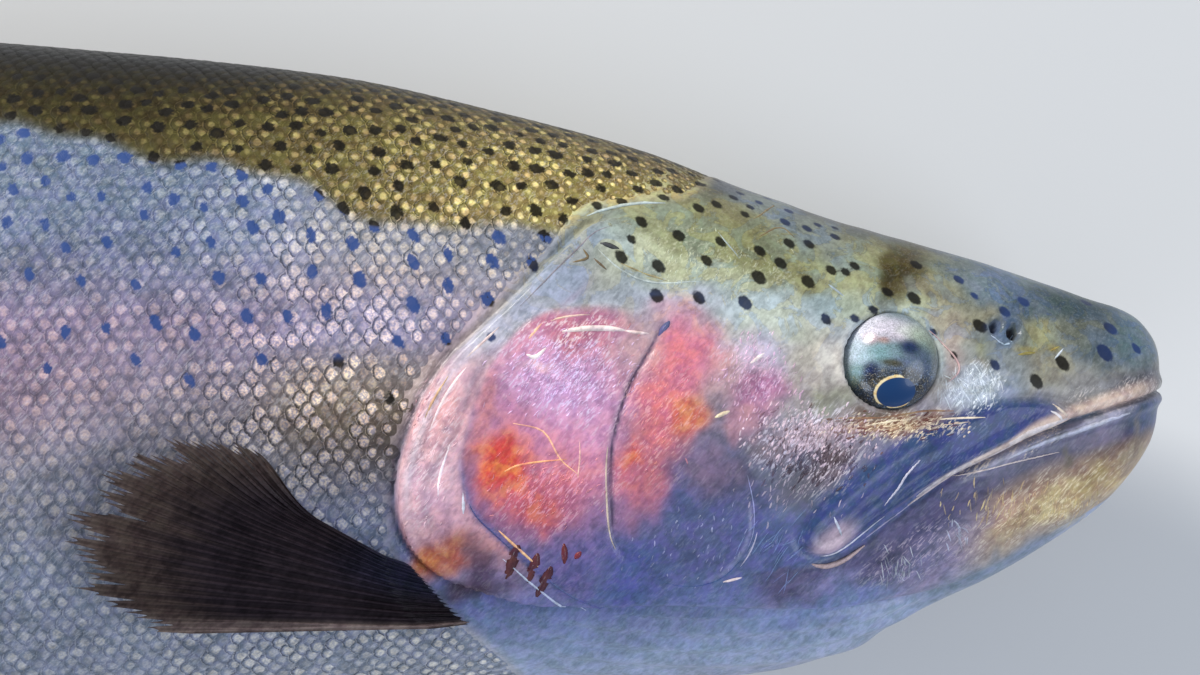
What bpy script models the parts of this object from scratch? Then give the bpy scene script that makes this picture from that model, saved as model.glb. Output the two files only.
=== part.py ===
"""A life-size rainbow trout, a still model that lies on its left flank with its head towards +X and its back towards +Y.

The body is one smooth loft, parted by thin cuts into head, jaws, gill covers, throat, trunk and tail stalk.
The fins are sheets that fan out along their rays. Everything is placed by two body coordinates: the distance
behind the snout, and the height above the fish's own axis. The right flank faces up.
"""

import math

import bmesh
import bpy
import numpy as np
from mathutils import Vector

# ---------------------------------------------------------------- driving dimensions, in metres
TOTAL_LENGTH = 0.860
UNIT = TOTAL_LENGTH / 860  # the tables below are in millimetres of a fish 860 mm long
GAP = 0.35 * UNIT  # between a fin or an eye and the flesh that carries it
PART_GAP = 0.4 * UNIT  # the thin cuts that part the flesh
BODY_END = 772 * UNIT
STALK_START = 640 * UNIT
SIDES = 34  # facets round the body
HEAD_STEP, TRUNK_STEP = 9.6 * UNIT, 21 * UNIT
HEAD_LENGTH = 190 * UNIT

EYE_PLACE = (73 * UNIT, 7 * UNIT)
EYE_RADIUS = 11.8 * UNIT
EYE_FLATNESS = 0.74  # its depth as a share of its width
EYE_SINK = 4.2 * UNIT  # the eye's centre lies this far under the cheek

# Body lines: (distance behind the snout, value), in millimetres. The lines start with the steep rise of a
# blunt snout, so they are smoothed over the square root of the distance.
BACK = ((0, 3), (0.8, 11), (2.6, 14.3), (6, 17.8), (11, 20.2), (16, 21.2), (22, 22.4), (32, 25), (52, 32),
        (80, 41), (106, 50), (131, 59.5), (168, 69.5), (210, 78.5), (264, 84), (320, 87.5), (370, 88),
        (430, 83), (500, 74), (570, 62), (640, 50), (700, 41), (728, 38.5), (752, 38.5), (772, 37))
BELLY = ((0, 3), (0.8, -8), (1.8, -13), (5, -19), (17, -33), (25, -38.5), (45, -50), (62, -58), (80, -68),
         (100, -73), (130, -75), (175, -77), (230, -82), (300, -89), (370, -92), (430, -89.5), (500, -80),
         (570, -66), (640, -51), (700, -41), (728, -38.5), (752, -38.5), (772, -37))
HALF_WIDTH = ((0, 0), (0.8, 7), (2.6, 11), (6, 15), (11, 18), (20, 21.5), (30, 24), (45, 27.5), (60, 30.5),
              (75, 33.5), (95, 38), (120, 43), (150, 46.5), (175, 48.5), (200, 50), (250, 53.5), (300, 55.5),
              (360, 56), (430, 52), (500, 44.5), (570, 35.5), (640, 26), (700, 18), (740, 12), (758, 7),
              (772, 3.6))
WIDEST_AT = ((0, 3), (20, 0), (50, -2), (75, 0), (110, -4), (150, -8), (200, -6), (300, -2), (772, 0))
ROUND_BACK = ((0, 2), (30, 2.1), (70, 2.3), (130, 2.25), (250, 2.1), (500, 2.0), (772, 2.0))
ROUND_BELLY = ((0, 2), (30, 1.9), (80, 1.75), (130, 1.8), (200, 2.05), (400, 2.15), (600, 2.0), (772, 2.0))
AXIS_HEIGHT = ((0, 44), (50, 46), (100, 47), (150, 47.8), (200, 49.6), (300, 54.3), (360, 54.9), (430, 50.9),
               (500, 43.6), (570, 35.2), (640, 26.6), (700, 19.6), (750, 13.6), (800, 6.5), (845, 0), (860, 0))

# Outlines in the side view: (distance behind the snout, height above the axis), in millimetres.
GILL_COVER = ((137, 37), (152, 38), (166, 24), (178, 10), (185, -7), (189, -24), (182, -38), (166, -44),
              (150, -52), (139.5, -50), (141, -36), (140, -10), (131, 12))
GILL_COVER_CORE = 15  # its inner face lies this far from the mid plane
GILL_COVER_PROUD = 2.0
MAXILLA = ((26, -8), (34, -3.5), (52, -8.5), (72, -20), (88, -29), (93, -36), (89, -40.5), (80, -38.4),
           (69, -29.5), (55, -19.5), (41, -14.6))
MAXILLA_CORE = 15
MAXILLA_PROUD = 1.0
MOUTH = ((-12, -3), (3, -3.2), (12, -4.9), (28.5, -9.2), (40.5, -14.4), (54, -19.2), (68, -29), (75, -34.4),
         (81, -39), (90, -42.2), (97, -44))
JAW_UNDERSIDE = ((97, -57.5), (82, -56.5), (65, -53), (50, -47.5), (36, -40), (30, -60), (-12, -60))
THROAT_TOP = ((20, -37.5), (36, -40), (50, -47.5), (65, -53), (82, -56.5), (97, -57.5), (118, -57),
              (138, -55.5), (150, -54), (163, -47.5), (172, -60), (174, -120), (10, -120))
SHOULDER = ((112, 130), (116, 62), (128, 49), (143, 37), (152, 20), (155, -10), (156, -60), (160, -120))

MATERIALS = {  # colour, roughness
    "back_skin": ((0.20, 0.19, 0.08), 0.42),
    "flank_skin": ((0.42, 0.43, 0.46), 0.38),
    "gill_pink": ((0.62, 0.23, 0.26), 0.35),
    "jaw_skin": ((0.30, 0.25, 0.33), 0.40),
    "throat_skin": ((0.42, 0.42, 0.52), 0.40),
    "fin_dark": ((0.05, 0.035, 0.035), 0.50),
    "fin_olive": ((0.19, 0.17, 0.10), 0.50),
    "eye_glass": ((0.05, 0.08, 0.10), 0.10),
}


# ---------------------------------------------------------------- body lines and places
def smooth_line(stations, rising_from_tip=False):
    """A smooth function through (distance, value) stations, both in millimetres, that never overshoots them."""
    at = np.array([s[0] for s in stations], float)
    value = np.array([s[1] for s in stations], float)
    if rising_from_tip:
        at = np.sqrt(at)
    slope = np.diff(value) / np.diff(at)
    tangent = np.concatenate([slope[:1], np.zeros(len(at) - 2), slope[-1:]])
    for i in range(1, len(at) - 1):
        if slope[i - 1] * slope[i] > 0:
            tangent[i] = 2 * slope[i - 1] * slope[i] / (slope[i - 1] + slope[i])

    def line(distance):
        x = np.clip(np.asarray(distance, float) / UNIT, 0, None)
        if rising_from_tip:
            x = np.sqrt(x)
        x = np.clip(x, at[0], at[-1])
        i = np.clip(np.searchsorted(at, x, side="right") - 1, 0, len(at) - 2)
        width = at[i + 1] - at[i]
        t = (x - at[i]) / width
        near = value[i] * (1 + 2 * t) * (1 - t) ** 2 + tangent[i] * width * t * (1 - t) ** 2
        far = value[i + 1] * t**2 * (3 - 2 * t) + tangent[i + 1] * width * t**2 * (t - 1)
        return (near + far) * UNIT

    return line


back_line = smooth_line(BACK, True)
belly_line = smooth_line(BELLY, True)
half_width = smooth_line(HALF_WIDTH, True)
widest_at = smooth_line(WIDEST_AT)
round_back = smooth_line(ROUND_BACK)
round_belly = smooth_line(ROUND_BELLY)
axis_height = smooth_line(AXIS_HEIGHT)


def place(distance, height, level):
    """A point of the model from the distance behind the snout, the height towards the back and the level."""
    return Vector((-distance, height, level))


def section_point(distance, angle, proud):
    """The skin at one distance. The angle runs from the back over the right flank to the belly and up the left."""
    across, up = math.sin(angle), math.cos(angle)
    middle = float(widest_at(distance))
    if up >= 0:
        power = 2 * UNIT / float(round_back(distance))
        reach = float(back_line(distance)) + proud - middle
    else:
        power = 2 * UNIT / float(round_belly(distance))
        reach = middle - float(belly_line(distance)) + proud
    side = (float(half_width(distance)) + proud) * math.copysign(abs(across) ** power, across)
    height = middle + reach * math.copysign(abs(up) ** power, up)
    return place(distance, height, max(0.0, float(axis_height(distance)) + side))


def flank_reach(distance, height):
    """How far the skin lies from the mid plane at this distance and height."""
    middle = float(widest_at(distance))
    if height >= middle:
        power = float(round_back(distance)) / UNIT
        reach = float(back_line(distance)) - middle
    else:
        power = float(round_belly(distance)) / UNIT
        reach = middle - float(belly_line(distance))
    inside = max(0.0, 1 - (abs(height - middle) / reach) ** power)
    return float(half_width(distance)) * inside ** (1 / power)


# ---------------------------------------------------------------- meshes, cutters and materials
def material(name):
    found = bpy.data.materials.get(name)
    if found:
        return found
    colour, roughness = MATERIALS[name]
    made = bpy.data.materials.new(name)
    made.use_nodes = True
    shader = made.node_tree.nodes["Principled BSDF"]
    shader.inputs["Base Color"].default_value = (*colour, 1)
    shader.inputs["Roughness"].default_value = roughness
    shader.inputs["Metallic"].default_value = 0.0
    return made


def new_object(name, shape, finish=None):
    """A named object from a bmesh, hung on the fish's empty. One with no finish is a cutter."""
    bmesh.ops.recalc_face_normals(shape, faces=shape.faces)
    mesh = bpy.data.meshes.new(name)
    shape.to_mesh(mesh)
    shape.free()
    made = bpy.data.objects.new(name, mesh)
    bpy.context.scene.collection.objects.link(made)
    made.parent = bpy.data.objects["trout"]
    if finish:
        mesh.materials.append(material(finish))
    else:
        made.hide_render = True
        made.display_type = "WIRE"
    return made


def body_stations():
    """Distances of the body's rings: close together round the blunt snout, and then by the head's and trunk's steps."""
    snout = [(k * 0.72) ** 2 * UNIT for k in range(1, 6)]
    head = list(np.arange(18.3 * UNIT, HEAD_LENGTH - HEAD_STEP, HEAD_STEP))
    trunk = list(np.arange(HEAD_LENGTH, BODY_END - TRUNK_STEP, TRUNK_STEP))
    return snout + head + trunk + [BODY_END - 9 * UNIT, BODY_END]


def body_loft(proud=0.0):
    """The whole body as one closed bmesh, standing proud of the skin by that much."""
    shape = bmesh.new()
    rings = []
    for distance in body_stations():
        turns = (2 * math.pi * k / SIDES for k in range(SIDES))
        rings.append([shape.verts.new(section_point(distance, turn, proud)) for turn in turns])
    tip = shape.verts.new(place(-proud, 3 * UNIT, float(axis_height(0))))
    for k in range(SIDES):
        shape.faces.new((tip, rings[0][k], rings[0][k - 1]))
    for near, far in zip(rings, rings[1:]):
        for k in range(SIDES):
            shape.faces.new((near[k - 1], near[k], far[k], far[k - 1]))
    shape.faces.new(rings[-1])
    return shape


def rounded(outline, steps=4):
    """A closed outline with a smooth curve through its points."""
    points = [Vector(p) for p in outline]
    curve = []
    for i, here in enumerate(points):
        before, after, beyond = points[i - 1], points[(i + 1) % len(points)], points[(i + 2) % len(points)]
        for k in range(steps):
            t = k / steps
            curve.append(0.5 * (2 * here + (after - before) * t
                                + (2 * before - 5 * here + 4 * after - beyond) * t**2
                                + (3 * here - before - 3 * after + beyond) * t**3))
    return curve


def grown(outline, by):
    """The closed outline moved outwards by that many millimetres."""
    points = [Vector(p) for p in outline]
    area = sum(a.cross(b) for a, b in zip(points, points[1:] + points[:1]))
    outwards = math.copysign(by, area)
    moved = []
    for i, here in enumerate(points):
        ahead = (points[(i + 1) % len(points)] - here).normalized()
        behind = (here - points[i - 1]).normalized()
        normal = Vector((ahead.y + behind.y, -ahead.x - behind.x)).normalized()
        slant = max(0.5, normal.dot(Vector((ahead.y, -ahead.x))))
        moved.append(here + normal * outwards / slant)
    return moved


def prism(name, outline, low, high, grow=0.0):
    """A cutter: a side-view outline in millimetres, run straight through the fish from one level to another."""
    shape = bmesh.new()
    ends = []
    for level in (low, high):
        ends.append([shape.verts.new(place(p.x * UNIT, p.y * UNIT, level)) for p in grown(outline, grow)])
    shape.faces.new(ends[0])
    shape.faces.new(ends[1])
    for k in range(len(ends[0])):
        shape.faces.new((ends[0][k - 1], ends[0][k], ends[1][k], ends[1][k - 1]))
    return new_object(name, shape)


def boolean(target, cutter, operation):
    step = target.modifiers.new(cutter.name, "BOOLEAN")
    step.operation = operation
    step.object = cutter
    step.solver = "EXACT"


def flesh(name, finish, keep=(), drop=(), proud=0.0):
    """A part of the body: what the keep cutters hold, less what the drop cutters hold."""
    made = new_object(name, body_loft(proud), finish)
    for cutter in keep:
        boolean(made, cutter, "INTERSECT")
    for cutter in drop:
        boolean(made, cutter, "DIFFERENCE")
    return made


# ---------------------------------------------------------------- the parts of the body
FLOOR_BELOW, SKY_ABOVE = -30 * UNIT, 150 * UNIT


def side_levels(side, outline, core):
    """The two levels of a cutter for one side's cheek, from its inner face outwards."""
    middle = sum(p[0] for p in outline) / len(outline) * UNIT
    axis = float(axis_height(middle))
    if side == "right":
        return axis + core * UNIT, SKY_ABOVE
    return FLOOR_BELOW, axis - core * UNIT


def both_sides(name, outline, core, proud, finish):
    """A right and a left piece of the cheek, and the slightly larger cutters that clear the flesh round them."""
    clearings = []
    for side in ("right", "left"):
        low, high = side_levels(side, outline, core)
        hold = prism(f"{name}_{side}_hold", outline, low, high)
        flesh(f"{name}_{side}", finish, keep=[hold], proud=proud * UNIT)
        low, high = side_levels(side, outline, core - PART_GAP / UNIT)
        clearings.append(prism(f"{name}_{side}_room", outline, low, high, PART_GAP / UNIT))
    return clearings


def eye_centre(side):
    distance, height = EYE_PLACE
    reach = flank_reach(distance, height) - EYE_SINK
    return place(distance, height, float(axis_height(distance)) + (reach if side == "right" else -reach))


def eyeball(name, side, radius, finish=None):
    shape = bmesh.new()
    bmesh.ops.create_uvsphere(shape, u_segments=16, v_segments=9, radius=radius)
    bmesh.ops.scale(shape, vec=(1, 1, EYE_FLATNESS), verts=shape.verts)
    made = new_object(name, shape, finish)
    made.location = eye_centre(side)
    return made


def build_body():
    covers = both_sides("gill_cover", rounded(GILL_COVER), GILL_COVER_CORE, GILL_COVER_PROUD, "gill_pink")
    upper_jaws = both_sides("maxilla", rounded(MAXILLA), MAXILLA_CORE, MAXILLA_PROUD, "jaw_skin")
    sockets = [eyeball(f"eye_{side}_socket", side, EYE_RADIUS + GAP) for side in ("right", "left")]
    for side in ("right", "left"):
        eyeball(f"eye_{side}", side, EYE_RADIUS, "eye_glass")

    through = (FLOOR_BELOW, SKY_ABOVE)
    cut = PART_GAP / UNIT
    jaw_outline = MOUTH + JAW_UNDERSIDE
    jaw = prism("lower_jaw_hold", jaw_outline, *through)
    jaw_room = prism("lower_jaw_room", jaw_outline, *through, cut)
    throat = prism("throat_hold", THROAT_TOP, *through)
    throat_room = prism("throat_room", THROAT_TOP, *through, cut)
    behind = prism("shoulder_hold", SHOULDER + ((900, -120), (900, 130)), *through)
    behind_room = prism("shoulder_room", SHOULDER + ((900, -120), (900, 130)), *through, cut)
    stalk_at = STALK_START / UNIT
    stalk = prism("stalk_hold", ((stalk_at, 130), (stalk_at, -120), (900, -120), (900, 130)), *through)
    stalk_room = prism("stalk_room", ((stalk_at, 130), (stalk_at, -120), (900, -120), (900, 130)), *through, cut)

    flesh("lower_jaw", "jaw_skin", keep=[jaw], drop=upper_jaws + [throat_room])
    flesh("throat", "throat_skin", keep=[throat], drop=covers)
    flesh("head", "back_skin", drop=[jaw_room, throat_room, behind_room] + covers + upper_jaws + sockets)
    flesh("trunk", "flank_skin", keep=[behind], drop=[throat_room, stalk_room] + covers)
    flesh("tail_stalk", "flank_skin", keep=[stalk])


# ---------------------------------------------------------------- fins
def fan(count, root, direction, length, curl=0.0, steps=4):
    """Rays of a fin in the side view. Root, direction (degrees above straight back) and length are functions of a
    ray's share, from 0 at the leading ray to 1 at the last. The curl bends a ray back towards the axis."""
    rays = []
    for i in range(count):
        share = i / (count - 1)
        start = Vector(root(share))
        way = math.radians(direction(share))
        ray = []
        for k in range(steps + 1):
            out = k / steps
            turn = way * (1 - curl * out)
            ray.append(start + Vector((math.cos(turn), math.sin(turn))) * length(share) * out)
        rays.append(ray)
    return rays


def fin(name, rays, level, root_thickness, tip_thickness, finish):
    """A closed sheet over the rays, thinning from root to tip, with its root cut to the skin it grows from.
    Level gives the sheet's own height above the floor, from a point's place, its share of the ray and its ray's."""
    shape = bmesh.new()
    layers = []
    for face in (1, -1):
        grid = []
        for i, ray in enumerate(rays):
            row = []
            for k, point in enumerate(ray):
                out = k / (len(ray) - 1)
                half = 0.5 * (root_thickness + (tip_thickness - root_thickness) * out)
                middle = max(half, level(point.x, point.y, out, i / (len(rays) - 1)))
                row.append(shape.verts.new(place(point.x, point.y, middle + face * half)))
            grid.append(row)
        layers.append(grid)
    last_ray, last_step = len(rays) - 1, len(rays[0]) - 1
    for grid in layers:
        for i in range(last_ray):
            for k in range(last_step):
                shape.faces.new((grid[i][k], grid[i + 1][k], grid[i + 1][k + 1], grid[i][k + 1]))
    rim = [(i, 0) for i in range(last_ray)] + [(last_ray, k) for k in range(last_step)]
    rim += [(i, last_step) for i in range(last_ray, 0, -1)] + [(0, k) for k in range(last_step, 0, -1)]
    for (i, k), (j, m) in zip(rim, rim[1:] + rim[:1]):
        shape.faces.new((layers[0][i][k], layers[0][j][m], layers[1][j][m], layers[1][i][k]))
    made = new_object(name, shape, finish)
    boolean(made, bpy.data.objects["body_room"], "DIFFERENCE")
    return made


def along(stations):
    """A smooth function of a share from 0 to 1, with its values in millimetres or degrees as given."""
    line = smooth_line(tuple((100 * share, value) for share, value in stations))
    return lambda share: float(line(share * 100 * UNIT)) / UNIT


def build_median_fins():
    dorsal_length = along(((0, 30), (0.1, 62), (0.2, 88), (0.3, 93), (0.6, 74), (1, 50)))
    dorsal = fan(
        14,
        lambda s: ((352 + 94 * s) * UNIT, back_line((352 + 94 * s) * UNIT) - 6 * UNIT),
        lambda s: 54 - 16 * s,
        lambda s: dorsal_length(s) * UNIT,
        0.12,
    )
    droop = 26 * UNIT
    fin("dorsal_fin", dorsal, lambda x, y, out, s: float(axis_height(x)) - droop * out**2 * 0.5,
        3.0 * UNIT, 0.8 * UNIT, "fin_olive")

    anal_length = along(((0, 26), (0.12, 58), (0.24, 80), (0.5, 66), (1, 36)))
    anal = fan(
        11,
        lambda s: ((572 + 70 * s) * UNIT, belly_line((572 + 70 * s) * UNIT) + 6 * UNIT),
        lambda s: -54 + 14 * s,
        lambda s: anal_length(s) * UNIT,
        0.12,
    )
    fin("anal_fin", anal, lambda x, y, out, s: float(axis_height(x)) - 16 * UNIT * out**2,
        3.0 * UNIT, 0.8 * UNIT, "fin_olive")

    adipose_length = along(((0, 16), (0.25, 31), (0.5, 39), (0.75, 34), (1, 24)))
    adipose = fan(
        7,
        lambda s: ((612 + 20 * s) * UNIT, back_line((612 + 20 * s) * UNIT) - 5 * UNIT),
        lambda s: 44 - 36 * s,
        lambda s: adipose_length(s) * UNIT,
    )
    fin("adipose_fin", adipose, lambda x, y, out, s: float(axis_height(x)), 5 * UNIT, 2.2 * UNIT, "back_skin")

    def tail_root(s):
        t = 1 - 2 * s
        return ((764 - 24 * t * t) * UNIT, 35 * t * UNIT)

    tail = fan(
        19,
        tail_root,
        lambda s: 31 * (1 - 2 * s),
        lambda s: (79 + 56.5 * abs(1 - 2 * s) ** 1.9) * UNIT,
        0.1,
        5,
    )
    fin("tail_fin", tail, lambda x, y, out, s: float(axis_height(x)), 3.4 * UNIT, 0.9 * UNIT, "fin_olive")


def build_paired_fins():
    upper_length = along(((0, 82), (0.12, 91), (0.35, 89), (0.6, 77), (0.8, 62), (1, 45)))
    pectoral = fan(
        13,
        lambda s: ((170 + 15 * s) * UNIT, (-56 + 14 * s) * UNIT),
        lambda s: 1 + 38 * s,
        lambda s: upper_length(s) * UNIT,
        -0.08,
    )

    def over_the_flank(x, y, out, s):
        lift = (-4 + 9 * min(1.0, out / 0.18) + 4 * out) * UNIT
        return float(axis_height(x)) + flank_reach(x, y) + lift

    fin("pectoral_fin_right", pectoral, over_the_flank, 3.2 * UNIT, 0.8 * UNIT, "fin_dark")

    lower_length = along(((0, 84), (0.12, 92), (0.35, 89), (0.6, 78), (0.8, 65), (1, 50)))
    splayed = fan(
        13,
        lambda s: ((172 + 13 * s) * UNIT, (-58 + 10 * s) * UNIT),
        lambda s: -46 + 30 * s,
        lambda s: lower_length(s) * UNIT,
        0.25,
    )

    def down_to_the_floor(x, y, out, s):
        root = float(axis_height(x)) - flank_reach(x, y)
        return (root + 4 * UNIT) * (1 - out) ** 2 + 0.4 * UNIT * out

    fin("pectoral_fin_left", splayed, down_to_the_floor, 3.2 * UNIT, 0.8 * UNIT, "fin_dark")

    pelvic_length = along(((0, 76), (0.2, 84), (0.5, 76), (1, 44)))
    for side, sign in (("right", 1), ("left", -1)):
        pelvic = fan(
            10,
            lambda s: ((404 + 16 * s) * UNIT, (-83 + 5 * s) * UNIT),
            lambda s: -13 + 22 * s,
            lambda s: pelvic_length(s) * UNIT,
            0.1,
        )

        def along_the_belly(x, y, out, s, sign=sign):
            away = (15 + 13 * min(1.0, out / 0.2) + 7 * s - 5 * out) * UNIT
            return float(axis_height(x)) + sign * away

        fin(f"pelvic_fin_{side}", pelvic, along_the_belly, 3 * UNIT, 0.8 * UNIT, "fin_dark")


# ---------------------------------------------------------------- the whole fish
def rest_on_origin():
    """Moves the fish so that the middle of its box's underside is the origin."""
    bpy.context.view_layer.update()
    graph = bpy.context.evaluated_depsgraph_get()
    corners = []
    for part in bpy.data.objects:
        if part.type == "MESH" and not part.hide_render:
            shown = part.evaluated_get(graph)
            corners += [shown.matrix_world @ Vector(corner) for corner in shown.bound_box]
    low = [min(corner[k] for corner in corners) for k in range(3)]
    high = [max(corner[k] for corner in corners) for k in range(3)]
    bpy.data.objects["trout"].location = (-(low[0] + high[0]) / 2, -(low[1] + high[1]) / 2, -low[2])


def main():
    for old in list(bpy.data.objects):
        bpy.data.objects.remove(old)
    trout = bpy.data.objects.new("trout", None)
    bpy.context.scene.collection.objects.link(trout)
    new_object("body_room", body_loft(GAP))
    build_body()
    build_median_fins()
    build_paired_fins()
    rest_on_origin()


main()
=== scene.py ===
"""The looks of a life-size rainbow trout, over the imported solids: skin, scales, rayed fins, eyes and colours.

Lengths are in millimetres of a fish 860 mm long, which UNIT turns into metres. A place on the fish is
`behind` (back from the snout) and `high` (towards the back, from the fish's own axis). `share` is how far
round a flank a place lies, from 0 on the back to 1 on the belly. The right flank faces up, and the left one
rests on the floor.
"""

import math

import bpy
import numpy as np
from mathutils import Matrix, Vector, kdtree

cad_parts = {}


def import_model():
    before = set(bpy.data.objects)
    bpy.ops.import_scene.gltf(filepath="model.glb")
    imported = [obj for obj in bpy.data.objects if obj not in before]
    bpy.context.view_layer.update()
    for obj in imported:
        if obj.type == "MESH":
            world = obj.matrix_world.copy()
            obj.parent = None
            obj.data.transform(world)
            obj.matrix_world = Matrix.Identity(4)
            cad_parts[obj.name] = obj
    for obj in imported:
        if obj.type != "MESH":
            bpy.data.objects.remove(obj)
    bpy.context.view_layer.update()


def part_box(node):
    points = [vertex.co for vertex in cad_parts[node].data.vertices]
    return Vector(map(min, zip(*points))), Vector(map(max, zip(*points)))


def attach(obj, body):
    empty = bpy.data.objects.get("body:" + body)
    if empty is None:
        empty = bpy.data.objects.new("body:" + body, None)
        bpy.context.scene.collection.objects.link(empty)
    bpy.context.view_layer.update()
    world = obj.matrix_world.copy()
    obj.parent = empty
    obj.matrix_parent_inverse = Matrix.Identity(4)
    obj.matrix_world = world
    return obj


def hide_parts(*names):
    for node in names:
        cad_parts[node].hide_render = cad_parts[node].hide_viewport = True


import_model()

# ---------------- the frame
STALK_START, BODY_END, TAIL_END = 640, 772, 860
EYE_PLACE = (73, 7)  # of the solid eye
EYE_CENTRE = (73.4, 6.4)
STALK_LOW, STALK_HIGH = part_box("tail_stalk")
EYE_LOW, EYE_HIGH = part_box("eye_right")
UNIT = (STALK_HIGH.x - STALK_LOW.x) / (BODY_END - STALK_START)
SNOUT_X = STALK_LOW.x + BODY_END * UNIT
AXIS_Y = (EYE_LOW.y + EYE_HIGH.y) / 2 - EYE_PLACE[1] * UNIT

# Body lines: (distance behind the snout, value). They repeat the solids' own, but for a forehead 2 mm fuller.
BACK = (
    (0, 3), (0.8, 11), (2.6, 14.3), (6, 17.8), (11, 20.2), (16, 21.7), (22, 23.5), (32, 27), (52, 33.4),
    (80, 41), (106, 50), (131, 59.5), (168, 69.5), (210, 78.5), (264, 84), (320, 87.5), (370, 88),
    (430, 83), (500, 74), (570, 62), (640, 50), (700, 41), (728, 38.5), (752, 38.5), (772, 37),
)
BELLY = (
    (0, 3), (0.8, -8), (1.8, -13), (5, -19), (17, -33), (25, -38.5), (45, -50), (62, -58), (80, -68),
    (100, -73), (130, -75), (175, -77), (230, -82), (300, -89), (370, -92), (430, -89.5), (500, -80),
    (570, -66), (640, -51), (700, -41), (728, -38.5), (752, -38.5), (772, -37),
)
HALF_WIDTH = (
    (0, 0), (0.8, 7), (2.6, 11), (6, 15), (11, 18), (20, 21.5), (30, 24), (45, 27.5), (60, 30.5),
    (75, 33.5), (95, 38), (120, 43), (150, 46.5), (175, 48.5), (200, 50), (250, 53.5), (300, 55.5),
    (360, 56), (430, 52), (500, 44.5), (570, 35.5), (640, 26), (700, 18), (740, 12), (758, 7), (772, 3.6),
)
WIDEST_AT = ((0, 3), (20, 0), (50, -2), (75, 0), (110, -4), (150, -8), (200, -6), (300, -2), (772, 0))
ROUND_BACK = ((0, 2), (30, 2.1), (70, 2.3), (130, 2.25), (250, 2.1), (500, 2.0), (772, 2.0))
ROUND_BELLY = ((0, 2), (30, 1.9), (80, 1.75), (130, 1.8), (200, 2.05), (400, 2.15), (600, 2.0), (772, 2.0))
AXIS_HEIGHT = (
    (0, 44), (50, 46), (100, 47), (150, 47.8), (200, 49.6), (300, 54.3), (360, 54.9), (430, 50.9),
    (500, 43.6), (570, 35.2), (640, 26.6), (700, 19.6), (750, 13.6), (800, 6.5), (845, 0), (860, 0),
)
COAT_DEPTH = 0.45  # the scaled skin lies this far inside the solids
HEAD_REACH = 215  # all that is drawn on the head lies in front of this
LOWEST = 0.02  # no scale or line lies lower than this over the floor
NO_SPOT = 4.0  # the distance from a spot that stands for none near
SIDES = (("right", 1), ("left", -1))

# Lines on the side of the head, each run so that its inner side is on the left.
GILL_EDGE = (
    (29, -37), (45, -45.5), (60, -51), (84, -54), (106, -53.7), (128, -52.3), (148, -51.2), (160, -50.4),
    (171, -47), (179.5, -43.6), (186.3, -37.6), (189.2, -29.8), (189.4, -20), (187, -11), (183.5, -2),
    (178, 6.5), (171.5, 13), (164.5, 19.5), (157.5, 26.5), (151, 33), (145, 38.5), (136, 41.5), (127, 42),
)
PLATE_EDGE = (
    (136, -54), (145, -50.5), (152, -46.5), (160, -39.5), (167, -33), (172.5, -27), (175, -17), (173, -6.8),
    (170.5, 1.5), (166.4, 8.4), (160.5, 14.6), (153.5, 18.4), (143, 19.6), (134, 18.8), (124, 18),
)
CHEEK_EDGE = (
    (108.5, -19), (106.4, -28), (106.6, -35), (109.5, -41), (115.5, -46), (124, -46.6), (133, -42.5),
    (139, -35.5), (140.3, -26), (140.2, -15.4), (138.6, -7), (135.8, 1.4), (131, 9.7), (127, 17.5),
)
MOUTH = (
    (-2, -0.5), (2.4, -1.6), (17, -5.4), (26.5, -8.3), (37.5, -11.8), (49.7, -17.4), (58.5, -22.6),
    (70, -30.6), (79, -37.4), (87.6, -41.3), (97, -42.8),
)
MAXILLA = (
    (26, -6.6), (34, -3.4), (48, -3.6), (62, -8.4), (74, -15.2), (85.5, -24), (93.5, -32), (94.5, -37),
    (90, -40), (84, -38.4), (72.5, -29.8), (58.5, -20.8), (43.6, -13.8),
)
BLADE_SEAM = ((66, -17), (69.5, -20.5), (71.5, -24), (74.5, -28))
EYE_FOLD = ((66.5, 16), (61.3, 11.5), (57.8, 8), (56.2, 5.3), (57, 3), (61, 0.2))
JAW_CREASE = ((28.5, -16.4), (34, -17.4), (40, -18.6), (47, -20), (54, -21.6), (60, -23.6))
RIB_LINE = ((50, -52), (70, -60), (95, -64), (120, -64), (145, -61), (166, -55))
SCALE_FRONT = (
    (150, -120), (160, -78), (168, -64), (178, -54), (186, -45), (191, -36.5), (191.3, -26), (189, -12),
    (186, -2), (180.5, 7), (174, 14), (167.5, 20), (160.5, 27), (155, 33), (151, 39), (146, 43.6),
    (136, 45.6), (124, 46.8), (117, 50.5), (113, 56), (110, 66), (106, 120),
)

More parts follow.
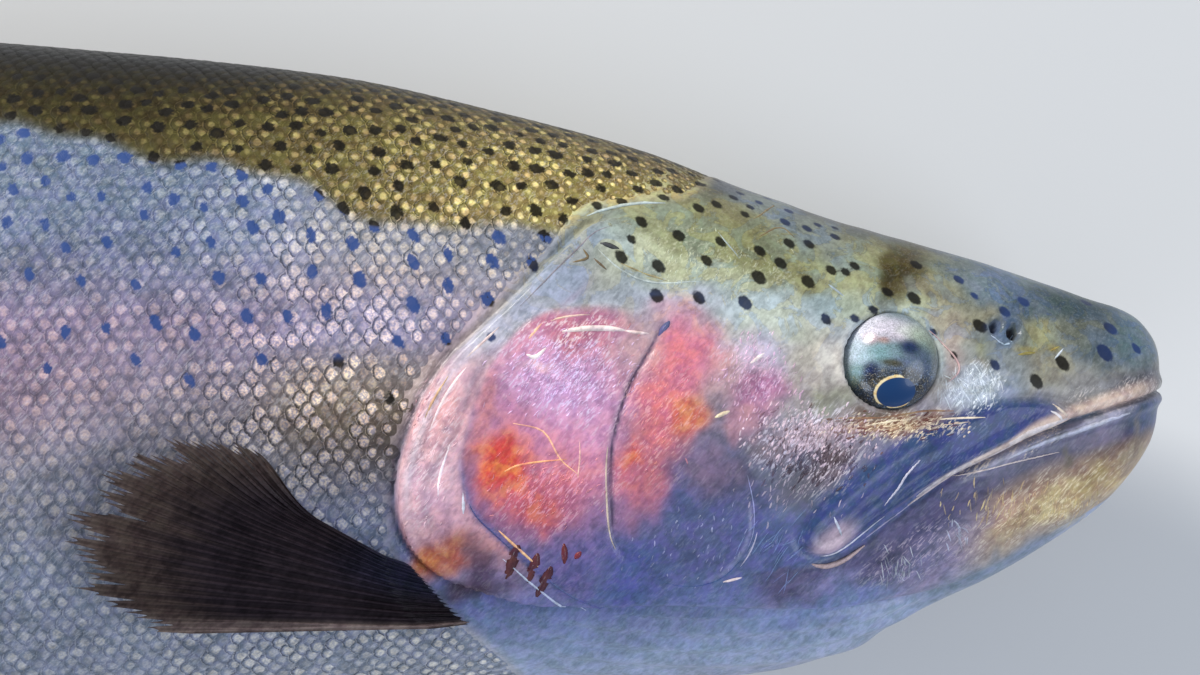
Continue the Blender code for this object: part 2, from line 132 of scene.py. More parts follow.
# Round dark spots on the head: (behind, high, radius).
HEAD_SPOTS = (
    (133, 39.5, 1.5), (124, 36.5, 1.6), (114, 35, 1.4), (117.5, 30.5, 1.4), (129, 29, 1.6),
    (138, 30.5, 1.6), (135.5, 35, 1.2), (129.5, 22, 1.7), (119.5, 21.5, 1.5), (108.5, 20.5, 1.7),
    (124, 48.5, 1.5), (119, 43.5, 1.5), (118, 50, 1.4), (120, 53, 1.1), (114.5, 44.5, 1.4),
    (110, 46.5, 1.2), (108, 48, 1.1), (105, 50, 1.1), (107.5, 42, 1.2), (106, 44, 1.1), (103.5, 45.5, 1.1),
    (101, 47, 1.2), (113.5, 51.5, 1.2), (104.5, 33, 1.5), (99.5, 30, 1.6), (105, 26.5, 1.8),
    (93, 25.5, 1.7), (97, 35, 1.5), (92, 35, 1.4), (97.5, 40.5, 1.4), (92, 39, 1.3), (96, 43.5, 1.3),
    (89, 40, 1.1), (85, 37, 1.3), (84.5, 39.5, 1.0), (87, 28.5, 1.4), (83.5, 28, 1.2), (81, 29.5, 1.3),
    (89, 16.5, 1.3), (82, 16.5, 1.1), (128.5, 56.5, 1.5), (125, 53.5, 1.4), (73.5, 23, 1.4),
    (67, 21.5, 1.7), (65, 30, 1.5), (54.5, 26.5, 1.4), (51, 22.5, 1.0), (77.5, 18.5, 1.1),
    (62.5, 13.5, 1.0), (57.5, 8, 1.0), (50.5, 15, 1.7), (47, 5.5, 1.3), (36.5, 1.5, 1.7), (29.5, 6, 1.8),
    (18, 8.5, 2.1), (15.5, 14.5, 1.8), (9, 9.5, 1.3), (38, 21, 1.5), (43.5, 18.5, 1.5), (20, 21, 1.5),
    (168, 12, 1.1),
)

# The nostrils: (behind, high, radius, depth).
NOSTRILS = ((42, 13.4, 1.8, 2.6), (46.6, 14.8, 1.6, 2.2))


def smooth_line(stations, rising_from_tip=False):
    """A smooth function through (distance, value) stations that never overshoots them."""
    at = np.array([s[0] for s in stations], float)
    value = np.array([s[1] for s in stations], float)
    if rising_from_tip:
        at = np.sqrt(at)
    slope = np.diff(value) / np.diff(at)
    tangent = np.concatenate([slope[:1], np.zeros(len(at) - 2), slope[-1:]])
    for i in range(1, len(at) - 1):
        if slope[i - 1] * slope[i] > 0:
            tangent[i] = 2 * slope[i - 1] * slope[i] / (slope[i - 1] + slope[i])

    def line(distance):
        x = np.clip(np.asarray(distance, float), 0, None)
        if rising_from_tip:
            x = np.sqrt(x)
        x = np.clip(x, at[0], at[-1])
        i = np.clip(np.searchsorted(at, x, side="right") - 1, 0, len(at) - 2)
        width = at[i + 1] - at[i]
        t = (x - at[i]) / width
        near = value[i] * (1 + 2 * t) * (1 - t) ** 2 + tangent[i] * width * t * (1 - t) ** 2
        far = value[i + 1] * t**2 * (3 - 2 * t) + tangent[i + 1] * width * t**2 * (t - 1)
        return near + far

    return line


back_line = smooth_line(BACK, True)
belly_line = smooth_line(BELLY, True)
half_width = smooth_line(HALF_WIDTH, True)
widest_at = smooth_line(WIDEST_AT)
round_back = smooth_line(ROUND_BACK)
round_belly = smooth_line(ROUND_BELLY)
axis_height = smooth_line(AXIS_HEIGHT)


def world(behind, high, level):
    """Points in metres, in the solids' frame."""
    return np.stack([SNOUT_X - behind * UNIT, AXIS_Y + high * UNIT, level * UNIT], -1)


def section(behind, turn):
    """How far out and how high the skin is, at an angle from the back (0) to the belly (pi)."""
    across, up = np.sin(turn), np.cos(turn)
    middle = widest_at(behind)
    reach = np.where(up >= 0, back_line(behind) - middle, middle - belly_line(behind))
    power = 2 / np.where(up >= 0, round_back(behind), round_belly(behind))
    return half_width(behind) * np.abs(across) ** power, middle + reach * np.sign(up) * np.abs(up) ** power


def flank_reach(behind, high):
    """How far the skin lies from the mid plane."""
    middle = widest_at(behind)
    above = high >= middle
    power = np.where(above, round_back(behind), round_belly(behind))
    reach = np.where(above, back_line(behind) - middle, middle - belly_line(behind))
    inside = np.clip(1 - (np.abs(high - middle) / reach) ** power, 0, 1)
    return half_width(behind) * inside ** (1 / power)


# ---------------- small tools for shapes
def ease(low, high, value):
    """0 below low and 1 above high, with a smooth rise between them."""
    t = np.clip((value - low) / (high - low), 0, 1)
    return t * t * (3 - 2 * t)


def between(rising, full, falling, gone, value):
    """1 from full to falling, with a smooth rise before it and a smooth fall to gone after it."""
    return ease(rising, full, value) * (1 - ease(falling, gone, value))


def ridge(value, width):
    return np.exp(-((value / width) ** 2))


def smooth_curve(points, closed=False, steps=7):
    """Points along a smooth curve through the given ones."""
    p = np.array(points, float)
    if closed:
        p = np.vstack([p[-1], p, p[:2]])
    else:
        p = np.vstack([2 * p[0] - p[1], p, 2 * p[-1] - p[-2]])
    t = np.linspace(0, 1, steps, endpoint=False)[:, None]
    runs = []
    for a, b, c, d in zip(p, p[1:], p[2:], p[3:]):
        bend = 2 * b + (c - a) * t + (2 * a - 5 * b + 4 * c - d) * t**2
        runs.append(0.5 * (bend + (3 * b - a - 3 * c + d) * t**3))
    return np.vstack(runs + [p[-2]])


def beside(curve, behind, high):
    """The distance from a curve, positive on its left, and the share of the curve's points gone by."""
    nearest = np.full(behind.shape, 1e9)
    side = np.zeros(behind.shape)
    gone = np.zeros(behind.shape)
    for k, (a, b) in enumerate(zip(curve, curve[1:])):
        run = b - a
        t = np.clip(((behind - a[0]) * run[0] + (high - a[1]) * run[1]) / (run @ run), 0, 1)
        dx, dy = behind - a[0] - t * run[0], high - a[1] - t * run[1]
        away = np.hypot(dx, dy)
        nearer = away < nearest
        nearest = np.where(nearer, away, nearest)
        side = np.where(nearer, np.sign(run[0] * dy - run[1] * dx), side)
        gone = np.where(nearer, (k + t) / (len(curve) - 1), gone)
    return nearest * side, gone


gill_edge = smooth_curve(GILL_EDGE, steps=5)
plate_edge = smooth_curve(PLATE_EDGE, steps=5)
cheek_edge = smooth_curve(CHEEK_EDGE, steps=5)
mouth_line = smooth_curve(MOUTH, steps=5)
maxilla_rim = smooth_curve(MAXILLA, closed=True, steps=5)
blade_seam = smooth_curve(BLADE_SEAM, steps=5)
scale_front = smooth_curve(SCALE_FRONT, steps=3)
eye_fold = smooth_curve(EYE_FOLD, steps=5)
jaw_crease = smooth_curve(JAW_CREASE, steps=5)
rib_line = smooth_curve(RIB_LINE, steps=4)


def ahead_of_scales(behind, high):
    """How far a place is in front of the scales, below 0 among them."""
    away = np.full(behind.shape, -99.0)
    near = behind < HEAD_REACH
    away[near] = beside(scale_front, behind[near], high[near])[0]
    return away


def from_eye(behind, high):
    return np.hypot(behind - EYE_CENTRE[0], high - EYE_CENTRE[1])


# ---------------- the body as a grid of stations and shares
class Flank:
    """The body's smooth surface, sampled so that places can be looked up by their `behind` and `share`."""

    COUNT = 320

    def __init__(self, stations):
        self.stations = stations
        turns = np.linspace(0, math.pi, 4 * self.COUNT + 1)
        out, high = section(stations[:, None], turns[None, :])
        step = np.hypot(np.diff(out, axis=1), np.diff(high, axis=1))
        run = np.concatenate([np.zeros((len(stations), 1)), np.cumsum(step, axis=1)], axis=1)
        self.half_round = run[:, -1]
        shares = np.linspace(0, 1, self.COUNT + 1)
        self.out = np.empty((len(stations), self.COUNT + 1))
        self.high = np.empty_like(self.out)
        for i in range(len(stations)):
            at = shares * run[i, -1]
            self.out[i] = np.interp(at, run[i], out[i])
            self.high[i] = np.interp(at, run[i], high[i])

    def look(self, grid, behind, share):
        """A value between the grid's four samples round a place."""
        i = np.clip(np.searchsorted(self.stations, behind, side="right") - 1, 0, len(self.stations) - 2)
        s = (behind - self.stations[i]) / (self.stations[i + 1] - self.stations[i])
        column = np.clip(share, 0, 1) * self.COUNT
        j = np.clip(column.astype(int), 0, self.COUNT - 1)
        t = column - j
        top = grid[i, j] * (1 - t) + grid[i, j + 1] * t
        below = grid[i + 1, j] * (1 - t) + grid[i + 1, j + 1] * t
        return top * (1 - s) + below * s

    def half_round_at(self, behind):
        return np.interp(behind, self.stations, self.half_round)

    def place(self, behind, share):
        """(out, high) of the smooth skin."""
        return self.look(self.out, behind, share), self.look(self.high, behind, share)

    def frame(self, behind, share):
        """The smooth skin in (behind, high, out), and its outward normal."""
        step_back, step_down = 1.5, 0.012
        before = np.clip(behind - step_back, 0.5, BODY_END)
        after = np.clip(behind + step_back, 0.5, BODY_END)
        above = np.clip(share - step_down, 0, 1)
        below = np.clip(share + step_down, 0, 1)
        points = []
        for x, t in ((behind, share), (before, share), (after, share), (behind, above), (behind, below)):
            out, high = self.place(x, t)
            points.append(np.stack([x, high, out + np.zeros_like(x)], -1))
        here, front, rear, up, down = points
        normal = np.cross(rear - front, down - up)
        normal *= np.where(normal[..., 2:3] < 0, -1, 1)
        normal /= np.linalg.norm(normal, axis=-1, keepdims=True) + 1e-9
        return here, normal


def skin_stations():
    """Distances behind the snout: close together on the head, and ever further apart along the trunk."""
    tip = (np.arange(1, 34) * 0.13) ** 2
    step = 0.8
    head = np.arange(tip[-1] + step, 196, step)
    run = [head[-1]]
    while run[-1] + step < BODY_END - 4:
        step = min(7.0, step * 1.07)
        run.append(run[-1] + step)
    return np.concatenate([tip, head, run[1:-1], [BODY_END - 6, BODY_END - 2, BODY_END]])


flank = Flank(skin_stations())


def share_at(behind, high):
    """The share of the flank at which the skin is that high."""
    i = np.argmin(np.abs(flank.stations - behind))
    return float(np.interp(-high, -flank.high[i], np.linspace(0, 1, flank.COUNT + 1)))


# ---------------- meshes
def add_object(name, data):
    thing = bpy.data.objects.new(name, data)
    bpy.context.scene.collection.objects.link(thing)
    return thing


def new_mesh(name, points, faces):
    """A mesh from points and from arrays of faces, each array with its own count of corners to a face."""
    corners = np.concatenate([np.asarray(f).ravel() for f in faces]).astype(np.int32)
    sizes = np.concatenate([np.full(len(f), np.asarray(f).shape[1]) for f in faces])
    starts = np.concatenate([[0], np.cumsum(sizes)[:-1]]).astype(np.int32)
    mesh = bpy.data.meshes.new(name)
    mesh.vertices.add(len(points))
    mesh.vertices.foreach_set("co", np.asarray(points, np.float32).ravel())
    mesh.loops.add(len(corners))
    mesh.loops.foreach_set("vertex_index", corners)
    mesh.polygons.add(len(sizes))
    mesh.polygons.foreach_set("loop_start", starts)
    mesh.update(calc_edges=True)
    mesh.validate()
    return mesh, corners


def make_piece(name, points, faces, finish, colours, amounts, uv, sharp=None):
    """A finished piece from arrays. It has colours (n, 3) and amounts (n,) or (n, 3) for its points.

    uv holds (n, 2) for its points or its corners. An edge between two sharp points is shaded as a sharp one.
    """
    mesh, corners = new_mesh(name, points, faces)
    for label, values in colours.items():
        layer = mesh.attributes.new(label, "FLOAT_COLOR", "POINT")
        whole = np.concatenate([values, np.ones((len(values), 1))], axis=1)
        layer.data.foreach_set("color", whole.astype(np.float32).ravel())
    for label, values in amounts.items():
        kind, key = ("FLOAT", "value") if values.ndim == 1 else ("FLOAT_VECTOR", "vector")
        mesh.attributes.new(label, kind, "POINT").data.foreach_set(key, values.astype(np.float32).ravel())
    per_corner = uv if len(uv) == len(corners) else uv[corners]
    mesh.uv_layers.new(name="OFBake").data.foreach_set("uv", per_corner.astype(np.float32).ravel())
    mesh.shade_smooth()
    if sharp is not None:
        ends = np.empty(2 * len(mesh.edges), np.int32)
        mesh.edges.foreach_get("vertices", ends)
        crisp = sharp[ends.reshape(-1, 2)].all(axis=1)
        mesh.attributes.new("sharp_edge", "BOOLEAN", "EDGE").data.foreach_set("value", crisp)
    mesh.materials.append(finish)
    piece = add_object(name, mesh)
    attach(piece, "root")
    return piece


def grid_faces(rows, columns, around=False):
    """Quads of a grid of points, which closes on itself across its columns if it goes around."""
    i, j = np.meshgrid(np.arange(rows - 1), np.arange(columns if around else columns - 1), indexing="ij")
    k = (j + 1) % columns
    quads = [i * columns + j, i * columns + k, (i + 1) * columns + k, (i + 1) * columns + j]
    return np.stack([q.ravel() for q in quads], -1)


def closed_faces(rows, columns):
    """Faces of a grid that goes around, closed by fans to the two points that follow the grid's own."""
    ring = np.arange(columns)
    after = np.roll(ring, -1)
    first, last = rows * columns, (rows - 1) * columns
    start_fan = np.stack([np.full(columns, first), after, ring], -1)
    end_fan = np.stack([np.full(columns, first + 1), last + ring, last + after], -1)
    return [grid_faces(rows, columns, around=True), start_fan, end_fan]


# ---------------- relief of the head
def cover_relief(lift, behind, high):
    """The gill cover's edge with its frill, the round plate on it, and the groove round the cheek."""
    side, gone = beside(gill_edge, behind, high)
    ends = between(0.0, 0.14, 0.90, 0.995, gone)
    thick = 0.8 + 2.0 * ease(110, 160, behind)
    lift += ends * thick * ease(-0.25, 0.75, side) * (1 - ease(5, 34, side))
    lift -= ends * ridge(side + 0.9, 0.8)
    frill = between(0.8, 2.5, 9, 15, side) * ease(148, 170, behind)
    lift += ends * 0.28 * np.sin(side * 1.25 + 1.1 * np.sin(high / 6)) * frill

    side, gone = beside(plate_edge, behind, high)
    ends = between(0.0, 0.1, 0.84, 1.0, gone)
    lift += ends * 0.75 * ease(-0.8, 1.0, side) * (1 - ease(4, 30, side))
    lift -= ends * 0.25 * ridge(side + 0.9, 0.7)

    side, gone = beside(cheek_edge, behind, high)
    ends = between(0.0, 0.12, 0.92, 1.0, gone)
    sharp = 0.2 + 0.8 * ease(0.45, 0.62, gone)
    rise = 0.55 * ease(0.2, 2.4, side) * (1 - ease(4, 18, side))
    lift += ends * sharp * (rise - 0.85 * ridge(side, 0.62))


def maxilla_relief(lift, behind, high):
    """The upper jaw's blade, crisp along its lower edge and soft above, and the seam across it."""
    inside = -beside(maxilla_rim, behind, high)[0]
    below = 1 - ease(-2.0, 2.5, high + 0.62 * (behind - 60) + 13)
    soft, crisp = ease(-0.6, 3.4, inside), ease(-0.2, 1.3, inside)
    lift += 1.25 * (soft + (crisp - soft) * below)
    lift -= 0.5 * below * ridge(inside + 0.8, 0.8)
    lift -= 0.35 * ridge(inside - 3.6, 1.1) * ease(56, 66, behind)
    side, gone = beside(blade_seam, behind, high)
    lift += 0.3 * ridge(side, 0.45) * ease(0.05, 0.3, gone) * (1 - ease(0.7, 0.95, gone))


def mouth_relief(lift, behind, high):
    """The slit of the mouth between its lips, the jaw's crease, and the thin ribs of the throat."""
    side, gone = beside(mouth_line, behind, high)
    front = 1 - ease(0.42, 0.72, gone)
    wide = 0.45 + 0.35 * ridge(behind - 27, 6)
    lift -= (0.7 + 1.2 * front) * ridge(side, wide) * (1 - ease(0.93, 1, gone))
    lift += front * (0.75 * ridge(side - 2.2, 1.6) + 0.95 * ridge(side + 2.0, 1.4))
    side, gone = beside(jaw_crease, behind, high)
    lift -= 0.45 * ridge(side, 0.45) * ease(0.02, 0.2, gone) * (1 - ease(0.8, 0.98, gone))
    side, gone = beside(rib_line, behind, high)
    ribs = between(0.02, 0.2, 0.8, 0.98, gone) * (1 - ease(9, 14, np.abs(side)))
    lift += 0.35 * np.cos(side * 1.35) * ribs


def eye_relief(lift, behind, high):
    """The eye's socket and its rim, the brow above it, the hollow below it and the fold before it."""
    away = from_eye(behind, high)
    lift -= 7.0 * (1 - ease(10.4, 11.6, away))
    lift += 0.75 * ridge(away - 12.3, 0.9)
    lift += 0.9 * ridge(high - 20.5, 3.5) * ridge(behind - 74, 15)
    lift -= 0.5 * ridge(high + 7.5, 2.4) * ridge(behind - 76, 12)
    side, gone = beside(eye_fold, behind, high)
    lift += 0.5 * ridge(side, 0.5) * ease(0.02, 0.2, gone) * (1 - ease(0.8, 0.98, gone))
    plump = 0.35 * ease(0, 1.2, side) * (1 - ease(3, 9, side))
    lift += plump * ease(0.02, 0.3, gone) * (1 - ease(0.7, 0.98, gone))


def relief(behind, high):
    """How far the skin stands out from the smooth body, by the bones, folds and openings of the head."""
    lift = np.zeros_like(behind)
    for form in (cover_relief, maxilla_relief, mouth_relief, eye_relief):
        form(lift, behind, high)
    for x, y, radius, depth in NOSTRILS:
        away = np.hypot(behind - x, (high - y) * 0.8)
        lift += 0.7 * ridge(away - radius - 0.7, 0.55) - depth * (1 - ease(radius - 0.9, radius, away))

    lift += 0.9 * ridge(behind - 112, 15) * ridge(high + 14, 14)
    lift += 0.8 * ridge(behind - 9, 9) * ridge(high + 14, 8)
    lift -= 0.7 * ridge(behind - 50, 22) * ridge(high + 36, 4)
    on_head = 1 - ease(150, 190, behind)
    wander = np.sin(behind / 5.3 + 0.6 * np.sin(high / 4.1)) * np.sin(high / 4.7 + 0.8 * np.sin(behind / 6.7))
    creases = np.sin(behind / 2.3 + high / 3.1 + 1.3 * np.sin(high / 6.3)) * np.sin(behind / 9.1 - high / 5.7)
    return lift + on_head * (0.12 * wander + 0.05 * creases)


# ---------------- colours of the skin
def blend(colour, other, amount):
    amount = np.asarray(amount)[..., None]
    return colour * (1 - amount) + np.asarray(other, float) * amount


def graded(stops, value):
    """A colour run through (value, (red, green, blue)) stops."""
    at = [stop[0] for stop in stops]
    return np.stack([np.interp(value, at, [stop[1][k] for stop in stops]) for k in range(3)], -1)


def patch(behind, high, x, y, long, tall, tilt=0.0):
    """A soft oval patch, 1 in its middle, which tilts towards the back of the fish as it runs to the tail."""
    turn = math.radians(tilt)
    along = (behind - x) * math.cos(turn) + (high - y) * math.sin(turn)
    across = (high - y) * math.cos(turn) - (behind - x) * math.sin(turn)
    return np.exp(-(((along / long) ** 2 + (across / tall) ** 2) ** 1.7))


def washed(colour, washes, behind, high, over=1.0):
    """A colour under soft oval washes, laid one after the other."""
    for x, y, long, tall, tilt, tint, strength in washes:
        colour = blend(colour, tint, over * strength * patch(behind, high, x, y, long, tall, tilt))
    return colour


def plain(colour, shape):
    return np.array(colour) * np.ones(shape + (3,))


def hills(behind, high, size, seed):
    """Smooth random hills and hollows between 1 and -1, each about the given size across."""
    count = 64
    table = np.random.default_rng(seed).uniform(-1, 1, (count, count))
    x, y = behind / size, high / size
    i, j = np.floor(x).astype(int), np.floor(y).astype(int)
    u, v = ease(0, 1, x - i), ease(0, 1, y - j)
    i, j, i_next, j_next = i % count, j % count, (i + 1) % count, (j + 1) % count
    low = table[i, j] * (1 - u) + table[i_next, j] * u
    return low * (1 - v) + (table[i, j_next] * (1 - u) + table[i_next, j_next] * u) * v


def wandering(behind, high):
    """Places moved about a little, so that what is drawn with them has an uneven edge."""
    x = behind + 2.2 * hills(behind, high, 6.5, 1) + 1.3 * hills(behind, high, 2.6, 2)
    return x, high + 1.8 * hills(behind, high, 6.5, 3) + 1.1 * hills(behind, high, 2.6, 4)


# The back's olive and the flank's silver, from the back's ridge (0) to the middle of the belly (1).
OLIVE = (
    (0.0, (0.03, 0.026, 0.014)), (0.05, (0.055, 0.046, 0.023)), (0.11, (0.14, 0.118, 0.055)),
    (0.17, (0.235, 0.205, 0.095)), (0.24, (0.3, 0.265, 0.13)), (0.32, (0.33, 0.285, 0.15)),
)
SILVER = (
    # Its blue, near the top of the silver, is partly a painted reflection of the sky on the wet flank.
    (0.15, (0.23, 0.265, 0.34)), (0.24, (0.25, 0.285, 0.38)), (0.33, (0.3, 0.31, 0.42)),
    # From share 0.58 to 0.8 the silver is a darker grey than the belly's: partly its own colour, partly painted
    # shade.
    (0.42, (0.345, 0.265, 0.36)), (0.5, (0.34, 0.285, 0.33)), (0.58, (0.3, 0.28, 0.31)),
    (0.68, (0.27, 0.285, 0.35)), (0.8, (0.31, 0.32, 0.37)), (1.0, (0.43, 0.43, 0.46)),
)
# The ground colour of the head, over which its washes lie.
CROWN_TO_THROAT = (
    (0.0, (0.036, 0.038, 0.034)), (0.08, (0.064, 0.068, 0.06)), (0.15, (0.18, 0.185, 0.115)),
    (0.24, (0.28, 0.31, 0.2)), (0.3, (0.33, 0.37, 0.33)), (0.36, (0.4, 0.42, 0.44)),
    (0.43, (0.42, 0.36, 0.36)), (0.51, (0.16, 0.15, 0.225)), (0.6, (0.075, 0.095, 0.235)),
    (0.75, (0.115, 0.152, 0.32)), (0.88, (0.25, 0.315, 0.45)), (1.0, (0.3, 0.33, 0.44)),
)
# Washes: (behind, high, half length, half height, tilt, colour, strength).
CROWN_WASHES = (
    (137, 51, 12, 4, 15, (0.2, 0.16, 0.06), 0.9), (122, 49, 10, 5, 15, (0.1, 0.082, 0.05), 0.9),
    (104, 47, 24, 3.0, 22, (0.06, 0.066, 0.08), 0.7), (118, 37, 14, 6, 18, (0.24, 0.26, 0.15), 0.85),
    (136, 33, 8, 5, 10, (0.46, 0.5, 0.42), 0.75), (130, 41, 10, 4, 15, (0.23, 0.25, 0.17), 0.8),
    (122, 27, 13, 4.5, 5, (0.34, 0.37, 0.27), 0.85), (104, 33, 9, 6, 30, (0.185, 0.19, 0.1), 0.9),
    (111, 42, 8, 3.5, 25, (0.15, 0.145, 0.08), 0.7), (88, 36, 9, 5, 24, (0.15, 0.18, 0.19), 0.85),
    (100, 43, 9, 4, 24, (0.15, 0.185, 0.21), 0.8), (94, 26, 8, 4, 10, (0.215, 0.22, 0.12), 0.85),
    (106, 19, 17, 4, 3, (0.46, 0.52, 0.5), 0.9), (127, 20, 12, 3.6, -3, (0.39, 0.41, 0.45), 0.85),
    (85, 20, 6, 4, 0, (0.33, 0.4, 0.38), 0.75), (84, 26, 5, 4, 0, (0.24, 0.25, 0.16), 0.6),
    (67.5, 29, 10.5, 5.2, -50, (0.048, 0.034, 0.006), 1.0),
    (72, 27, 9, 3.4, -58, (0.055, 0.045, 0.012), 0.95), (62, 23, 8, 3.6, 12, (0.185, 0.175, 0.135), 0.85),
    (56, 29.5, 8, 3, 18, (0.1, 0.125, 0.125), 0.85), (48, 25, 9, 4, 15, (0.125, 0.17, 0.24), 0.85),
    (58, 15, 6, 5, 0, (0.32, 0.285, 0.25), 0.85), (59, 8, 4, 4.5, 0, (0.4, 0.32, 0.31), 0.75),
    (51, 17, 5, 4, 0, (0.23, 0.225, 0.18), 0.75), (48.5, 9, 3, 4, 0, (0.24, 0.245, 0.14), 0.7),
    (51, 4, 3, 1.8, -10, (0.28, 0.2, 0.08), 0.6), (44, 9, 4.5, 5, 0, (0.195, 0.235, 0.275), 0.85),
    (44, 14, 4.5, 4.5, 0, (0.085, 0.13, 0.215), 0.75), (34.5, 13.5, 5, 5, 10, (0.27, 0.27, 0.165), 0.9),
    (38, 9, 3, 1.8, 0, (0.33, 0.27, 0.08), 0.75), (31.5, 9.8, 2.2, 1.3, 30, (0.29, 0.23, 0.06), 0.75),
    (32, 3, 8, 5, 0, (0.27, 0.25, 0.185), 0.85), (41, 2, 5, 4, 0, (0.27, 0.3, 0.33), 0.8),
    (24, 14, 7, 4, 0, (0.115, 0.13, 0.12), 0.8), (21, 22, 15, 5.0, 3, (0.024, 0.05, 0.062), 1.0),
    (36, 21, 9, 3, 10, (0.08, 0.115, 0.16), 0.8), (18, 9, 6, 5, 0, (0.095, 0.125, 0.15), 0.8),
    (8, 12, 7, 8, 0, (0.08, 0.135, 0.195), 0.9), (20, 1, 8, 3, -10, (0.2, 0.195, 0.205), 0.8),
    (8, 1, 8, 3.2, -10, (0.11, 0.105, 0.13), 0.9), (53, 0, 8, 4.5, -10, (0.43, 0.49, 0.57), 0.9),
    (45, -3, 6, 3.6, -20, (0.18, 0.23, 0.34), 0.85), (38, -6, 7, 2.6, -25, (0.12, 0.14, 0.24), 0.8),
    (149, 30, 9, 7, -45, (0.225, 0.265, 0.31), 0.85), (147, 40, 9, 4, -20, (0.29, 0.295, 0.25), 0.8),
    (142, 47, 6, 2.6, 10, (0.36, 0.295, 0.11), 0.8), (63, 2, 3, 6, 10, (0.29, 0.265, 0.225), 0.7),
)
CHEEK_WASHES = (
    (90, 8, 6, 6.5, 0, (0.62, 0.57, 0.5), 0.9), (97, 14, 5, 3, 0, (0.38, 0.41, 0.35), 0.7),
    (96, 6, 3, 4, 0, (0.38, 0.36, 0.31), 0.6), (106, 8, 7, 5, 0, (0.52, 0.44, 0.57), 0.9),
    (106, 0, 8, 5.5, -10, (0.4, 0.16, 0.29), 0.95), (108, -7, 6, 4, -20, (0.44, 0.22, 0.27), 0.85),
    # The first wash here is painted shade below and behind the eye.
    (88, -2, 7, 4, 0, (0.26, 0.26, 0.19), 0.9), (96, -3, 4, 4, 0, (0.38, 0.34, 0.35), 0.7),
    # The first wash here is a painted shadow under the eye.
    (78, -6, 8, 2.4, -3, (0.19, 0.13, 0.075), 0.85), (92, -11, 9, 4, -5, (0.42, 0.31, 0.35), 0.9),
    (70, -8.6, 16, 2.4, -4, (0.44, 0.26, 0.16), 0.95), (64, -7.6, 5, 1.3, 0, (0.26, 0.12, 0.075), 0.75),
    (102, -14, 7, 5, -20, (0.15, 0.105, 0.13), 0.9), (88, -18, 8, 4, -25, (0.19, 0.125, 0.125), 0.85),
    (97, -22, 8, 6, 0, (0.08, 0.075, 0.105), 0.9), (109, -23, 7, 8, 0, (0.085, 0.09, 0.165), 0.85),
    (88, -29, 8, 5, -40, (0.052, 0.068, 0.155), 0.9), (123, 9, 9.5, 10, 0, (0.62, 0.175, 0.245), 0.97),
    (129, -5, 9.5, 11, 0, (0.62, 0.165, 0.205), 0.97), (134, -20, 7, 11, 0, (0.55, 0.16, 0.205), 0.95),
    (137.5, -16, 3, 4.5, 0, (0.65, 0.11, 0.03), 0.9), (123, -6, 4.5, 4, 0, (0.62, 0.19, 0.085), 0.85),
    (120, -35, 15, 12, 0, (0.095, 0.108, 0.245), 0.9), (117, -19, 7, 6, 0, (0.19, 0.13, 0.2), 0.8),
    (137, -43, 9, 9, 0, (0.08, 0.105, 0.29), 0.9), (100, -37, 9, 6, 0, (0.085, 0.105, 0.26), 0.8),
)
PLATE_WASHES = (
    (152, -6, 22, 27, 0, (0.6, 0.24, 0.36), 1.0), (151, 1, 15, 9, 28, (0.61, 0.345, 0.59), 0.85),
    (149, 14, 15, 5, 0, (0.52, 0.17, 0.25), 0.9), (156, -24, 13, 8, -20, (0.51, 0.135, 0.2), 0.9),
    (165, -17, 7, 7.5, 0, (0.72, 0.125, 0.045), 0.95), (157, -27, 6, 4, 0, (0.6, 0.11, 0.08), 0.7),
    # The first wash here is a painted glare on the plate.
    (158, 6, 4, 1.4, 15, (0.85, 0.56, 0.54), 0.6), (149, -17, 6, 6, 0, (0.6, 0.22, 0.29), 0.7),
    (170.5, -6, 2.6, 13, 12, (0.56, 0.21, 0.23), 0.7), (150, -41, 19, 9, -25, (0.12, 0.105, 0.27), 0.92),
)
GILL_WASHES = (
    (182, -40, 10, 4.6, -28, (0.4, 0.12, 0.045), 0.95),
    (172, -46.5, 10, 3.4, -20, (0.06, 0.034, 0.055), 0.95), (171, -40, 4, 6, -30, (0.07, 0.045, 0.09), 0.9),
    (186, -30, 4, 5, -20, (0.56, 0.36, 0.42), 0.6), (160, -50, 12, 3, -20, (0.13, 0.14, 0.3), 0.6),
)
JAW_WASHES = (
    (7, -7, 6, 5, -30, (0.068, 0.098, 0.17), 0.95), (9, -9.5, 1.3, 3.2, 10, (0.21, 0.18, 0.15), 0.6),
    (9, -17, 6, 4, -35, (0.25, 0.2, 0.14), 0.85), (21, -24, 8, 3.6, -35, (0.35, 0.25, 0.12), 0.85),
    (31, -28.5, 8, 3.6, -30, (0.51, 0.39, 0.22), 0.85), (43, -31, 8, 3.6, -28, (0.45, 0.28, 0.235), 0.8),
    (28.5, -16.5, 1.4, 2.2, 0, (0.085, 0.07, 0.045), 0.8), (19, -13, 5, 2.0, -25, (0.15, 0.12, 0.2), 0.8),
    (24, -33, 8, 2.6, -35, (0.3, 0.27, 0.22), 0.7), (52, -35, 8, 3, -28, (0.27, 0.22, 0.27), 0.7),
    (86, -47, 10, 3, -12, (0.215, 0.215, 0.39), 0.8), (84, -53, 15, 4, -12, (0.165, 0.225, 0.42), 0.8),
    (46, -48, 20, 4, -24, (0.145, 0.19, 0.265), 0.8), (76, -61, 22, 4, -10, (0.24, 0.3, 0.44), 0.7),
)
